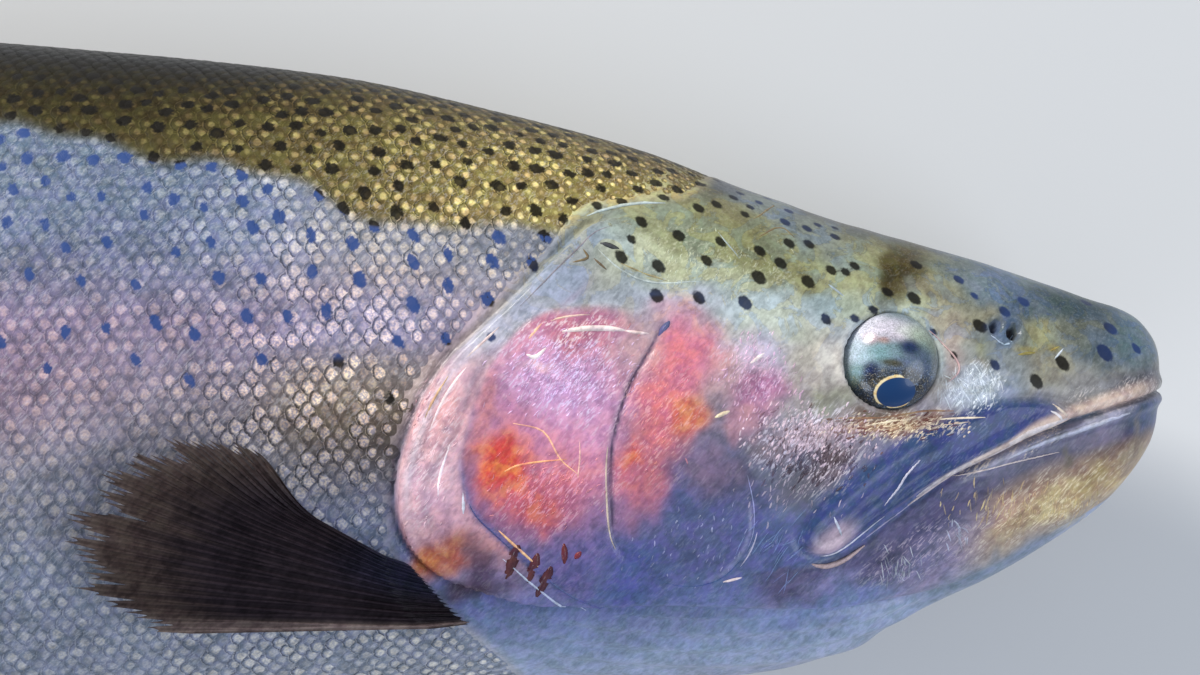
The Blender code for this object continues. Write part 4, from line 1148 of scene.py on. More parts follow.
def skin_finish():
    """Bare skin: the painted head, with painted shade inside its openings, under flecks of their own colour."""
    finish, n = new_finish("bare_skin")
    pit_shade, glitter, share = n.parts("zone")
    # Painted shade inside the openings.
    deep = n.mix(n.times(pit_shade, 0.85), n.attribute("paint"), (0.025, 0.014, 0.022))
    group = n.add("ShaderNodeGroup", {
        "Colour": deep, "Shine": n.attribute("shine"), "Flecks": glitter, "Spot": n.attribute("spot", "Fac"),
        "Marble": n.ramp(share, 0.28, 0.42, 0.85, 0.15), "Mottle": 0.48, "Grain": 0.42, "Ragged": 0.12,
        "Blue ink": n.times(blueness(n, deep, -0.03, 0.10), 0.6)}, node_tree=skin_group)
    close_finish(n, group, group.outputs["Normal"], 0.20, 0.10)
    return finish


def scale_finish():
    """A scale: a pale bead on darker skin, a dark crescent and thin pale edge behind (painted shade and
    highlight), and growth rings.
    """
    finish, n = new_finish("scales")
    ground = n.attribute("paint")
    along, across, chance = n.parts("disc")
    where = n.object_place()
    wobble = n.ramp(n.noise(where, 0.9, 3), 0.3, 0.7, -0.07, 0.07)

    def distance(centre, squeeze):
        run = n.times(n.minus(along, centre), squeeze)
        square = n.plus(n.math("POWER", run, 2.0), n.math("POWER", across, 2.0))
        return n.plus(n.math("SQRT", square), wobble)

    whole = distance(0.0, 1.0)
    blue = blueness(n, ground, -0.004, 0.040)
    full = n.attribute("full", "Fac")
    room = n.plus(n.ramp(chance, 0.0, 1.0, 0.07, -0.02), n.ramp(blue, 0.0, 1.0, 0.08, 0.02))
    room = n.minus(room, n.times(full, 0.17))
    facets = n.ramp(n.noise(where, 0.55, 2), 0.40, 0.60)
    tint = n.mix(facets, (0.60, 0.66, 0.92), (1.32, 1.26, 1.18))
    bead = n.mix(n.ramp(full, 0.0, 1.0, 0.30, 1.0), n.attribute("bead"), tint, "MULTIPLY")
    # The pale bead: partly the scale's own silver, partly a painted highlight on its dome.
    bright = n.ramp(n.plus(distance(0.24, 1.20), room), 0.54, 0.30)
    beaded = n.mix(n.times(bright, n.ramp(chance, 0.0, 0.8, 0.25, 1.0)), ground, bead)
    rear = n.ramp(along, 0.10, 0.50)
    # Painted shade: a dark crescent inside the scale's rear edge.
    crescent = n.times(n.times(n.ramp(whole, 0.74, 0.80), n.ramp(whole, 0.93, 0.88)), rear)
    crescent = n.times(crescent, n.ramp(chance, 0.1, 0.9, 0.20, 0.85))
    shaded = n.mix(crescent, beaded, n.toned(ground, 0.32))
    # Painted highlight: a thin pale line on the rear rim.
    edge = n.times(n.ramp(whole, 0.88, 0.93), rear)
    edged = n.mix(n.times(edge, n.ramp(chance, 0.0, 1.0, 0.12, 0.50)), shaded, bead)
    light = n.add("ShaderNodeRGBToBW", {0: ground}).outputs[0]
    group = n.add("ShaderNodeGroup", {
        "Colour": edged, "Blue ink": blue, "Spot": n.attribute("spot", "Fac"), "Mottle": 0.55,
        "Flecks": n.ramp(light, 0.03, 0.14, 0.0, 0.15), "Grain": 0.35, "Ragged": 0.34}, node_tree=skin_group)
    rings = n.math("SINE", n.times(whole, 40.0))
    ringed = n.bump(rings, 0.014 * UNIT, 0.5, group.outputs["Normal"])
    close_finish(n, group, ringed, n.ramp(light, 0.02, 0.14, 0.012, 0.10), 0.16)
    return finish


def fin_finish(name, coat, lit):
    """Membrane over branching, jointed rays."""
    finish, n = new_finish(name)
    ray, along, _ = n.parts("rays")
    shown = n.toned(n.attribute("paint"), n.ramp(ray, 0.20, 0.95, 1.0, lit))
    group = n.add("ShaderNodeGroup", {"Colour": shown, "Spot": n.attribute("spot", "Fac"), "Mottle": 0.7,
                                      "Flecks": 0.0, "Grain": 0.6}, node_tree=skin_group)
    joints = n.math("SINE", n.times(along, 260.0))
    jointed = n.bump(n.times(joints, ray), 0.05 * UNIT, 0.6, group.outputs["Normal"])
    close_finish(n, group, jointed, coat, 0.25, 0.08)
    return finish


# ---------------- the skin
RIGHT_COLUMNS, LEFT_COLUMNS = 180, 90
SKIN_COLUMNS = RIGHT_COLUMNS + LEFT_COLUMNS
REST_LEVEL = 0.45  # the skin's lowest level: the scales under it reach the floor


def skin_grid():
    """The skin's points as (behind, share, side): at each station down the right flank, up the left."""
    shares = np.concatenate([np.linspace(0, 1, RIGHT_COLUMNS + 1), np.linspace(1, 0, LEFT_COLUMNS + 1)[1:-1]])
    sides = np.concatenate([np.ones(RIGHT_COLUMNS + 1), -np.ones(LEFT_COLUMNS - 1)])
    rows = len(flank.stations)
    return np.repeat(flank.stations, SKIN_COLUMNS), np.tile(shares, rows), np.tile(sides, rows)


def skin_lift(behind, high):
    """How far the skin stands out: the head's relief in front, and sunk under the scales behind it."""
    on_head = behind < HEAD_REACH
    lift = np.zeros(len(behind))
    lift[on_head] = relief(behind[on_head], high[on_head])
    return lift - COAT_DEPTH * ease(-1.0, 1.0, -ahead_of_scales(behind, high))


def skin_points(here, normal, lift, side):
    """The skin's points with its tips at the snout and the tail. Near the snout they move straight ahead."""
    tip = ease(0, 1.5, here[:, 0])
    normal[:, 0] = normal[:, 0] * tip - (1 - tip)
    normal /= np.linalg.norm(normal, axis=1, keepdims=True)
    x, y, out = (here + normal * lift[:, None]).T
    level = np.maximum(axis_height(np.clip(x, 0, None)) + side * out, REST_LEVEL)
    tips = world(np.array([0.0, BODY_END + 0.5]), np.array([3.0, 0.0]), axis_height([0, BODY_END]))
    return np.vstack([world(x, y, level), tips])


def unwrap_skin(behind, share, side, faces):
    """Each corner's place on the unwrap. The head has most of it, as scales hide the trunk's skin."""
    half = 0.48
    along = np.interp(behind, [0, 200, TAIL_END], [0.01, 0.62, 0.99])
    flat = np.vstack([np.stack([along, 0.5 + half * side * share], -1), [[0.005, 0.5], [0.995, 0.5]]])
    uv = flat[np.concatenate([f.ravel() for f in faces])]
    # Quads of the left flank that touch the belly's middle line have it on their own side of the map.
    column = faces[0] % SKIN_COLUMNS
    seam = (column == RIGHT_COLUMNS) & (column.max(1, keepdims=True) > RIGHT_COLUMNS)
    uv[: column.size][seam.ravel(), 1] = 0.5 - half
    return uv


def build_skin():
    behind, share, side = skin_grid()
    here, normal = flank.frame(behind, share)
    high = here[:, 1]
    lift = skin_lift(behind, high)
    points = skin_points(here, normal, lift, side)
    faces = closed_faces(len(flank.stations), SKIN_COLUMNS)
    tips = np.array([[0.17, 0.17, 0.2], [0.2, 0.2, 0.2]])
    shine, glitter = flecks(behind, high)
    colours = {"paint": np.vstack([paint(behind, high, share), tips]), "shine": np.vstack([shine, tips])}
    way = side * share * flank.half_round_at(behind)
    spot = np.concatenate([spot_distance(behind, way), [NO_SPOT, NO_SPOT]])
    # Painted shade: the skin is darkened where it sinks deepest, as inside the nostrils, but not round the eye.
    pit_shade = (1 - ease(-2.8, -1.4, lift)) * (from_eye(behind, high) > 13)
    zone = np.vstack([np.stack([pit_shade, glitter, share], -1), [[0, 0, 0.5], [0, 0, 0.5]]])
    finish = skin_finish()
    skin = make_piece("skin", points, faces, finish, colours, {"spot": spot, "zone": zone},
                      unwrap_skin(behind, share, side, faces))
    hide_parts("head", "lower_jaw", "maxilla_right", "maxilla_left", "gill_cover_right",
                "gill_cover_left", "throat", "trunk", "tail_stalk")
    return finish


# ---------------- fine lines and flecks on the head
def edge_stroke(edge, start, end, inwards):
    """Places along part of an edge, moved to its inner side."""
    gone = np.linspace(start, end, max(4, int(90 * (end - start)))) * (len(edge) - 1)
    at = np.stack([np.interp(gone, np.arange(len(edge)), edge[:, k]) for k in (0, 1)], -1)
    run = np.gradient(at, axis=0)
    run /= np.linalg.norm(run, axis=1, keepdims=True)
    return at + inwards * np.stack([-run[:, 1], run[:, 0]], -1)


def shares_at(behind, high):
    return np.array([share_at(x, y) for x, y in zip(behind.tolist(), high.tolist())])


def clear_of_marks(behind, high):
    """Whether each place keeps off the eye, the spots and the scales."""
    way = shares_at(behind, high) * flank.half_round_at(behind)
    clear = from_eye(behind, high) > 12.6
    return clear & (spot_distance(behind, way) > 0.2) & (ahead_of_scales(behind, high) > 0.5)


def spray_strokes():
    """The strokes of the sprays that lie clear of other marks: (width, colour, strength, line)."""
    chance = np.random.default_rng(21)
    strokes = []
    for x, y, long, tall, count, length, width, tilt, colour in SPRAYS:
        spread = np.clip(chance.normal(0, 0.5, (count, 2)), -1.2, 1.2) * (long, tall)
        turn = np.radians(tilt + chance.normal(0, 16, count))
        half = np.stack([np.cos(turn), np.sin(turn)], -1) * 0.5 * length
        half = half * chance.uniform(0.5, 1.3, (count, 1))
        middle = spread + (x, y)
        lines = np.stack([middle - half, middle + chance.normal(0, 0.12, (count, 2)), middle + half], 1)
        widths = width * chance.uniform(0.5, 1.2, count)
        tones = chance.uniform(0.75, 1.1, count)
        strengths = chance.uniform(0.15, 0.80, count)
        clear = clear_of_marks(*lines.reshape(-1, 2).T).reshape(-1, 3).all(axis=1)
        for line, size, tone, strength in zip(lines[clear], widths, tones, strengths):
            tint = np.clip(np.array(colour) * tone, 0, 1)
            strokes.append((size, tint, strength, smooth_curve(line, steps=2)))
    return strokes


def all_strokes():
    strokes = [(width, tint, 0.9, edge_stroke(edge, *span)) for edge, *span, width, tint in EDGE_LINES]
    strokes += [(width, tint, 0.9, smooth_curve(places, steps=4)) for width, tint, places in SKIN_LINES]
    return strokes + spray_strokes()


def stroke_rings(width, middle, normal):
    """Rings of four around a thin ridge that is pointed at both ends."""
    across = np.cross(np.gradient(middle, axis=0), normal)
    across /= np.linalg.norm(across, axis=1, keepdims=True)
    taper = np.sqrt(np.sin(np.linspace(0.06, math.pi - 0.06, len(middle))))[:, None]
    edge = across * (0.5 * width * taper)
    rise = min(0.06 + 0.10 * width, 0.18) * taper
    return np.stack([middle + edge, middle + normal * rise, middle - edge, middle - normal * 0.35], 1)


def build_fine_lines(finish):
    strokes = all_strokes()
    behind, high = np.vstack([line for *_, line in strokes]).T
    share = shares_at(behind, high)
    here, normal = flank.frame(behind, share)
    middle = here + normal * relief(behind, here[:, 1])[:, None]
    ground = paint(behind, high, share)
    rings, colours, faces = [], [], []
    start = 0
    for width, tint, strength, line in strokes:
        part = slice(start, start + len(line))
        rings.append(stroke_rings(width, middle[part], normal[part]).reshape(-1, 3))
        colours.append(np.repeat(blend(ground[part], tint, strength), 4, axis=0))
        caps = [[3, 2, 1, 0], 4 * (len(line) - 1) + np.arange(4)]
        faces.append(4 * start + np.vstack([grid_faces(len(line), 4, True), caps]))
        start += len(line)
    x, y, out = np.vstack(rings).T
    colour, faces = np.vstack(colours), np.vstack(faces)
    amounts = {"spot": np.full(len(x), NO_SPOT), "zone": np.tile([0.0, 0.0, 0.5], (len(x), 1))}
    for label, side in SIDES:
        way = side * share * flank.half_round_at(behind)
        root = np.repeat(np.stack([behind, way], -1) / TAIL_END + (0, 0.5), 4, axis=0)
        level = np.maximum(axis_height(x) + side * out, LOWEST)
        make_piece(f"fine_lines_{label}", world(x, y, level), [faces[:, ::side]], finish,
                   {"paint": colour, "shine": colour}, amounts, root)


# ---------------- scales
SCALE_LENGTH, SCALE_WIDTH, ROW_HEIGHT = 1.62, 2.05, 0.76  # in pitches, in rows, and a row in pitches
SCALE_CORNERS = 12
FULL_PITCH = 4.2
HALF_TILE = 0.0015  # half of one scale's patch on the unwrap
SCALE_PITCH = (
    (100, 2.4), (125, 2.75), (150, 3.1), (180, 3.4), (230, 3.65), (350, 3.8), (500, 3.7), (620, 3.3),
    (772, 2.7),
)
scale_pitch = smooth_line(SCALE_PITCH)


def lateral_share(behind):
    """The share at which the lateral line runs."""
    high = np.interp(behind, [180, 260, 400, 772], [10, 7, 4, 0])
    return np.array([share_at(x, y) for x, y in zip(behind, high)])


def scale_places(shift):
    """A flank's scales as (behind, share, 1 on the lateral line). Each row is half a pitch on."""
    stations = [108.0]
    while stations[-1] < BODY_END - 2:
        stations.append(stations[-1] + float(scale_pitch(stations[-1])) / 2)
    stations = np.array(stations)
    line = lateral_share(stations)
    row_height = ROW_HEIGHT * scale_pitch(stations)
    found = []
    for row in range(-95, 96):
        picked = slice(row % 2, None, 2)
        x = stations[picked]
        share = line[picked] - row * row_height[picked] / flank.half_round_at(x)
        found.append(np.stack([x, share, np.full(len(x), float(row == 0))], -1))
    places = np.vstack(found)
    places[:, 0] += shift.normal(0, 0.12, len(places))
    places[:, 1] += shift.normal(0, 0.0007, len(places))
    places = places[(places[:, 1] > 0.002) & (places[:, 1] < 0.998) & (places[:, 0] < BODY_END - 1)]
    high = flank.place(places[:, 0], places[:, 1])[1]
    return places[ahead_of_scales(places[:, 0], high) < -0.5]


def scale_shape():
    """One scale: (along, across) of its corners, in shares of its half sizes, and its faces."""
    count = SCALE_CORNERS
    turns = np.linspace(0, 2 * math.pi, count, endpoint=False)
    rim = np.stack([np.cos(turns), np.sin(turns) * (1 - 0.12 * np.cos(turns) ** 2)], -1)
    along = np.concatenate([[0.32], 0.32 + 0.40 * rim[:, 0], rim[:, 0], [0.0]])
    across = np.concatenate([[0], 0.48 * rim[:, 1], rim[:, 1], [0]])
    ring = np.arange(count)
    after = np.roll(ring, -1)
    top = np.stack([np.zeros(count, int), 1 + ring, 1 + after], -1)
    outer = np.stack([1 + ring, 1 + count + ring, 1 + count + after, 1 + after], -1)
    under = np.stack([np.full(count, 1 + 2 * count), 1 + count + after, 1 + count + ring], -1)
    return along, across, (top, outer, under)


def scale_lift(along, size):
    """How far the corners of scales stand out from the smooth body, in full at a pitch of FULL_PITCH."""
    bulge = np.concatenate([[0.17], np.full(SCALE_CORNERS, 0.10), np.zeros(SCALE_CORNERS), [-0.20]])
    return (bulge + 0.20 * along + 0.16)[None, :] * (size / FULL_PITCH)[:, None] - COAT_DEPTH


def scale_colours(behind, high, share):
    """The ground of the scales and their beads, as shaded and lit copies of the skin's colour, and how full the
    beads are.
    """
    skin = paint(behind, high, share)
    olive = ease(-3.5, 1.0, high - silver_line(behind))
    full = np.maximum(0.35, patch(behind, high, 205, -4, 36, 30)) * (1 - olive)
    brown = patch(behind, high, 199, -7, 28, 13) * (1 - olive)
    gap = 1 - np.outer(full, (0.22, 0.24, 0.18)) - np.outer(brown, (0.26, 0.32, 0.50))
    # Painted shade and highlight: the ground is a darker copy of the skin's colour and the bead a lighter one,
    # partly the scales' own pattern, partly the light on each dome.
    ground = blend(skin * np.array([0.62, 0.70, 0.79]) * gap, skin * np.array([0.44, 0.40, 0.27]), olive)
    bead = np.clip(skin * np.array([1.38, 1.31, 1.06]) + 0.03, 0, 0.86)
    bead = blend(bead, np.clip(skin * np.array([1.60, 1.42, 1.16]), 0, 0.8), olive)
    return ground, bead, full


def build_scales(name, side, places, shift, finish):
    """A joined mesh of one stretch of scales. Each is a thin closed dome, with its front sunk in the skin."""
    along, across, shape = scale_shape()
    x, share, on_line = places.T
    normal = flank.frame(x, share)[1]
    high = flank.place(x, share)[1]
    half_round = flank.half_round_at(x)
    young = 0.62 + 0.38 * ease(0, 12, -ahead_of_scales(x, high))
    size = scale_pitch(x) * shift.uniform(0.94, 1.06, len(x)) * young
    half_long = (0.5 * SCALE_LENGTH * size)[:, None]
    half_wide = (0.5 * SCALE_WIDTH * ROW_HEIGHT * size)[:, None]
    turned = shift.normal(0, 0.05, len(x))[:, None]
    local_back = half_long * along - turned * half_wide * across
    local_down = half_wide * across + turned * half_long * along
    # The scale bends with the body: each corner keeps the skin's own distance from the mid plane.
    at_x = np.clip(x[:, None] + local_back, 1, BODY_END)
    at_share = np.clip(share[:, None] + local_down / half_round[:, None], 0, 1)
    out, high = flank.place(at_x, at_share)
    points = np.stack([at_x, high, out], -1) + normal[:, None, :] * scale_lift(along, size)[..., None]
    behind, high_up, out = points.reshape(-1, 3).T
    level = np.maximum(axis_height(behind) + side * out, LOWEST)

    starts = np.arange(len(x))[:, None, None] * len(along)
    faces = [(starts + f[None]).reshape(-1, f.shape[1])[:, ::side] for f in shape]
    ground, bead, full = scale_colours(at_x.ravel(), high.ravel(), at_share.ravel())
    chance = shift.uniform(0, 1, len(x)) * (1 - on_line) * (1 - 0.55 * ease(210, 255, x))
    disc = np.stack(np.broadcast_arrays(along[None, :], across[None, :], chance[:, None]), -1)
    way = side * at_share * flank.half_round_at(at_x)
    spot = spot_distance(at_x.ravel(), way.ravel())
    root = np.stack([x / TAIL_END, 0.5 + side * share * half_round / TAIL_END], -1)
    tile = root[:, None, :] + HALF_TILE * np.stack([along, across], -1)[None, :, :]
    on_rim = np.zeros(len(along), bool)
    on_rim[1 + SCALE_CORNERS : 1 + 2 * SCALE_CORNERS] = True
    make_piece(name, world(behind, high_up, level), faces, finish,
               {"paint": ground, "bead": bead}, {"spot": spot, "disc": disc.reshape(-1, 3), "full": full},
               tile.reshape(-1, 2), np.tile(on_rim, len(x)))


def build_coat():
    """Each flank's scales in three pieces of nearly the same count."""
    finish = scale_finish()
    for (label, side), seed in zip(SIDES, (5, 6)):
        shift = np.random.default_rng(seed)
        places = scale_places(shift)
        limits = np.quantile(places[:, 0], (0, 1 / 3, 2 / 3, 1))
        limits[-1] += 1
        for part, start, end in zip(("front", "middle", "rear"), limits, limits[1:]):
            chosen = (places[:, 0] >= start) & (places[:, 0] < end)
            build_scales(f"scales_{label}_{part}", side, places[chosen], shift, finish)


# ---------------- fins
FIN_OLIVE = (0.15, 0.125, 0.06)


def through(stations):
    """A smooth function of a share from 0 to 1."""
    line = smooth_line(tuple((100 * share, value) for share, value in stations))
    return lambda share: line(np.asarray(share) * 100)


def branches(share, out, rays):
    """How near a place is to a ray: 0 on the membrane, 1 on the ray's crest. Each ray forks twice."""
    within = (share * rays) % 1.0 - 0.5
    first = 0.25 * ease(0.30, 0.72, out)
    second = 0.125 * ease(0.58, 0.98, out)
    width = 0.20 - 0.135 * ease(0.2, 0.8, out)
    crest = np.zeros_like(share)
    for one in (-1, 1):
        for two in (-1, 1):
            crest = np.maximum(crest, ridge(within - one * first - two * second, width))
    return crest


def fin_spots(x, y, room, radius, seed):
    """Distance from scattered dark spots on a fin, clear of its root and of its edge."""
    chance = np.random.default_rng(seed)
    low, high = int(x.shape[1] * 0.12), int(x.shape[1] * 0.9)
    found = np.full(x.shape, NO_SPOT)
    kept = []
    for _ in range(900):
        i, j = chance.integers(x.shape[0]), chance.integers(low, high)
        place = (x[i, j], y[i, j])
        if all(math.hypot(place[0] - a, place[1] - b) > room for a, b in kept):
            kept.append(place)
    for a, b in kept:
        size = radius * chance.uniform(0.7, 1.15)
        found = np.minimum(found, np.hypot(x - a, y - b) - size)
    return found


def unwrap_fin(x, y):
    """Both faces of a fin on its map, one over the other."""
    wide = x.max() - x.min()
    u = 0.02 + 0.96 * (x - x.min()) / wide
    v = (y - y.min()) / wide
    v = v / max(1.0, 2.05 * v.max()) * 0.96
    return np.vstack([np.stack([u, base + v], -1).reshape(-1, 2) for base in (0.01, 0.51)])


def sheet_faces(columns, rows):
    """Faces of a closed sheet: its upper side, its lower side and the band round its edge."""
    quads = grid_faces(columns, rows)
    index = np.arange(columns * rows).reshape(columns, rows)
    rim = np.concatenate([index[:-1, 0], index[-1, :-1], index[:0:-1, -1], index[0, :0:-1]])
    after = np.roll(rim, -1)
    band = np.stack([rim, after, after + index.size, rim + index.size], -1)
    return [quads[:, ::-1], quads + index.size, band]


def build_fin(name, node, rays, root, direction, length, curl, level, thickness, finish, colour_of,
              columns_per_ray=12, steps=44, fray=0.02, seed=1, tall_tip=0.25, spotted=None,
              sag=lambda share, out: 0):
    """A closed sheet that fans out from its root, ridged by its rays and ragged along its edge.

    root, direction (in degrees) and length follow the share of the way along the root. The rays turn by curl
    on their way out. thickness is at the root and at the tip, and spotted holds what fin_spots takes.
    """
    chance = np.random.default_rng(seed)
    columns = rays * columns_per_ray + 1
    share = np.linspace(0, 1, columns)[:, None] + np.zeros((1, steps + 1))
    out = np.linspace(0, 1, steps + 1)[None, :] + np.zeros((columns, 1))
    crest_at_tip = branches(share[:, 0], np.ones(columns), rays)
    knots = rays * 4 + 1
    uneven = np.interp(share[:, 0] * rays, np.arange(knots) / 4, chance.uniform(-1, 1, knots))
    reach = length(share[:, 0]) * (1 - fray * (1 - crest_at_tip) + fray * 0.9 * uneven)
    way = np.radians(direction(share)) * (1 - curl * out) * (1 - sag(share, out))
    start_x, start_y = root(share[:, 0])
    x = start_x[:, None] + np.cos(way) * reach[:, None] * out
    y = start_y[:, None] + np.sin(way) * reach[:, None] * out
    crest = branches(share, out, rays)
    half = 0.5 * (thickness[0] + (thickness[1] - thickness[0]) * out)
    half = half * (0.42 + 0.58 * crest) * np.minimum(1, 6 * (1 - out) + tall_tip)
    middle = np.maximum(half + 0.05, level(x, y, out, share))
    points = np.vstack([world(x, y, middle + half).reshape(-1, 3), world(x, y, middle - half).reshape(-1, 3)])
    tint = np.tile(colour_of(share, out, crest).reshape(-1, 3), (2, 1))
    spot = fin_spots(x, y, **spotted) if spotted else np.full(x.shape, NO_SPOT)
    amounts = {"spot": np.tile(spot.ravel(), 2),
               "rays": np.tile(np.stack([crest, out, share], -1).reshape(-1, 3), (2, 1))}
    piece = make_piece(name, points, sheet_faces(columns, steps + 1), finish, {"paint": tint}, amounts,
                       unwrap_fin(x, y))
    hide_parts(node)


def median_colour(base, tip, dark_root=0.6):
    """The colours of a fin on the fish's middle line, darker at its root and between its rays."""
    def colour_of(share, out, crest):
        colour = blend(plain(base, out.shape), tip, ease(0.45, 1.0, out))
        colour = blend(colour, (0.030, 0.026, 0.018), dark_root * (1 - ease(0.0, 0.35, out)))
        return blend(colour, (0.06, 0.05, 0.03), 0.45 * (1 - crest) * ease(0.1, 0.4, out))

    return colour_of


def dark_colour(share, out, crest):
    """The near black pectoral fins, brown along their front ray, paler at their edge, with a painted blue sheen
    near the root.
    """
    colour = blend(plain((0.013, 0.009, 0.012), out.shape), (0.050, 0.034, 0.028), 0.8 * ease(0.66, 1.0, out))
    colour = blend(colour, (0.066, 0.050, 0.047), ease(0.90, 1.0, out) * (0.3 + 0.6 * crest))
    # Painted sheen: a dark blue tint over the inner part of the fin.
    colour = blend(colour, (0.012, 0.015, 0.034), 0.7 * ease(0.45, 0.1, out) * ease(0.2, 0.6, share))
    lead = 1 - ease(0.02, 0.085, share)
    return blend(colour, (0.170, 0.125, 0.115), 0.8 * lead * (1 - 0.5 * ease(0.5, 1, out)))


def grey_colour(share, out, crest):
    colour = blend(plain((0.10, 0.075, 0.07), out.shape), (0.30, 0.25, 0.25), ease(0.5, 1.0, out))
    return blend(colour, (0.42, 0.34, 0.32), 0.8 * (1 - ease(0.02, 0.1, share)))


def in_mid_plane(x, y, out, share):
    return axis_height(x)


def build_dorsal_fin(finish):
    build_fin(
        "fin_dorsal", "dorsal_fin", 13,
        root=lambda s: (352 + 94 * s, back_line(352 + 94 * s) - 6),
        direction=lambda s: 54 - 16 * s,
        length=through(((0, 30), (0.1, 62), (0.2, 88), (0.3, 93), (0.6, 74), (1, 50))),
        curl=0.12, level=lambda x, y, out, s: axis_height(x) - 13 * out**2, thickness=(3.0, 0.8),
        finish=finish, colour_of=median_colour(FIN_OLIVE, (0.21, 0.17, 0.11)),
        fray=0.025, seed=3, spotted={"room": 7.5, "radius": 1.7, "seed": 4})


def build_anal_fin(finish):
    build_fin(
        "fin_anal", "anal_fin", 11,
        root=lambda s: (572 + 70 * s, belly_line(572 + 70 * s) + 6),
        direction=lambda s: -54 + 14 * s,
        length=through(((0, 26), (0.12, 58), (0.24, 80), (0.5, 66), (1, 36))),
        curl=0.12, level=lambda x, y, out, s: axis_height(x) - 16 * out**2, thickness=(3.0, 0.8),
        finish=finish,
        colour_of=median_colour((0.19, 0.135, 0.09), (0.34, 0.25, 0.22), 0.3), fray=0.03, seed=5)


def build_adipose_fin(finish):
    build_fin(
        "fin_adipose", "adipose_fin", 4,
        root=lambda s: (612 + 20 * s, back_line(612 + 20 * s) - 5),
        direction=lambda s: 44 - 36 * s,
        length=through(((0, 16), (0.25, 31), (0.5, 39), (0.75, 34), (1, 24))),
        curl=0.0, level=in_mid_plane, thickness=(5.0, 2.2),
        finish=finish,
        colour_of=median_colour((0.13, 0.11, 0.05), (0.05, 0.045, 0.03), 0.1),
        fray=0.0, seed=6, tall_tip=0.1, spotted={"room": 7, "radius": 1.8, "seed": 9})


def build_tail_fin(finish):
    def root(s):
        t = 1 - 2 * s
        return 764 - 24 * t * t, 35 * t

    build_fin(
        "fin_tail", "tail_fin", 19, root=root,
        direction=lambda s: 31 * (1 - 2 * s),
        length=lambda s: 79 + 56.5 * np.abs(1 - 2 * s) ** 1.9,
        curl=0.1, level=in_mid_plane, thickness=(3.4, 0.9),
        finish=finish, colour_of=median_colour(FIN_OLIVE, (0.19, 0.155, 0.10), 0.3),
        steps=56, fray=0.02, seed=7, spotted={"room": 8.0, "radius": 1.9, "seed": 8})


def build_right_pectoral(finish):
    """The upper pectoral fin, laid back over the flank."""
    whole_length = through(((0, 72), (0.12, 84), (0.25, 88), (0.5, 81), (0.68, 73), (0.85, 59), (1, 45)))

    def notched_length(s):
        return whole_length(s) - 6 * ridge(s - 0.44, 0.035) - 4 * ridge(s - 0.72, 0.03)

    def over_the_flank(x, y, out, s):
        lift = -4 + 9 * np.minimum(1.0, out / 0.18) + 4 * out
        return axis_height(x) + flank_reach(x, y) + lift

    build_fin(
        "fin_pectoral_right", "pectoral_fin_right", 14,
        root=lambda s: (170 + 15 * s, -56 + 14 * s),
        direction=lambda s: 0.5 + 37.5 * s, length=notched_length,
        curl=-0.05, level=over_the_flank, thickness=(3.2, 0.8),
        finish=finish, colour_of=dark_colour,
        columns_per_ray=16, steps=64, fray=0.058, seed=12,
        sag=lambda share, out: 0.20 * share**2 * (1 - ease(0.55, 1.0, out)))


def build_left_pectoral(finish):
    """The lower pectoral fin, spread on the floor."""
    def down_to_the_floor(x, y, out, s):
        root_level = axis_height(x) - flank_reach(x, y)
        return (root_level + 4) * (1 - out) ** 2 + 0.4 * out

    build_fin(
        "fin_pectoral_left", "pectoral_fin_left", 14,
        root=lambda s: (172 + 13 * s, -58 + 10 * s),
        direction=lambda s: -46 + 30 * s,
        length=through(((0, 84), (0.12, 92), (0.35, 89), (0.6, 78), (0.8, 65), (1, 50))),
        curl=0.25, level=down_to_the_floor, thickness=(3.2, 0.8),
        finish=finish, colour_of=dark_colour, columns_per_ray=10, fray=0.06, seed=13)


def build_pelvic_fin(label, side, finish):
    def along_the_belly(x, y, out, s):
        return axis_height(x) + side * (15 + 13 * np.minimum(1.0, out / 0.2) + 7 * s - 5 * out)

    build_fin(
        f"fin_pelvic_{label}", f"pelvic_fin_{label}", 10,
        root=lambda s: (404 + 16 * s, -83 + 5 * s),
        direction=lambda s: -13 + 22 * s,
        length=through(((0, 76), (0.2, 84), (0.5, 76), (1, 44))),
        curl=0.1, level=along_the_belly, thickness=(3.0, 0.8),
        finish=finish, colour_of=grey_colour, columns_per_ray=10, fray=0.04, seed=14)


def build_fins():
    finish = fin_finish("fins", 0.15, 1.7)
    dark_finish = fin_finish("dark_fins", 0.03, 1.5)
    build_dorsal_fin(finish)
    build_anal_fin(finish)
    build_adipose_fin(finish)
    build_tail_fin(finish)
    build_right_pectoral(dark_finish)
    build_left_pectoral(dark_finish)
    for label, side in SIDES:
        build_pelvic_fin(label, side, finish)


# ---------------- eyes
EYE_RADIUS = 12.0
EYE_FLATNESS, EYE_SINK = 0.74, 3.3
EYE_RINGS, EYE_SEGMENTS = 110, 180
GAZE_DOWN, GAZE_AHEAD = math.radians(40), math.radians(5)
PUPIL = math.radians(22.5)
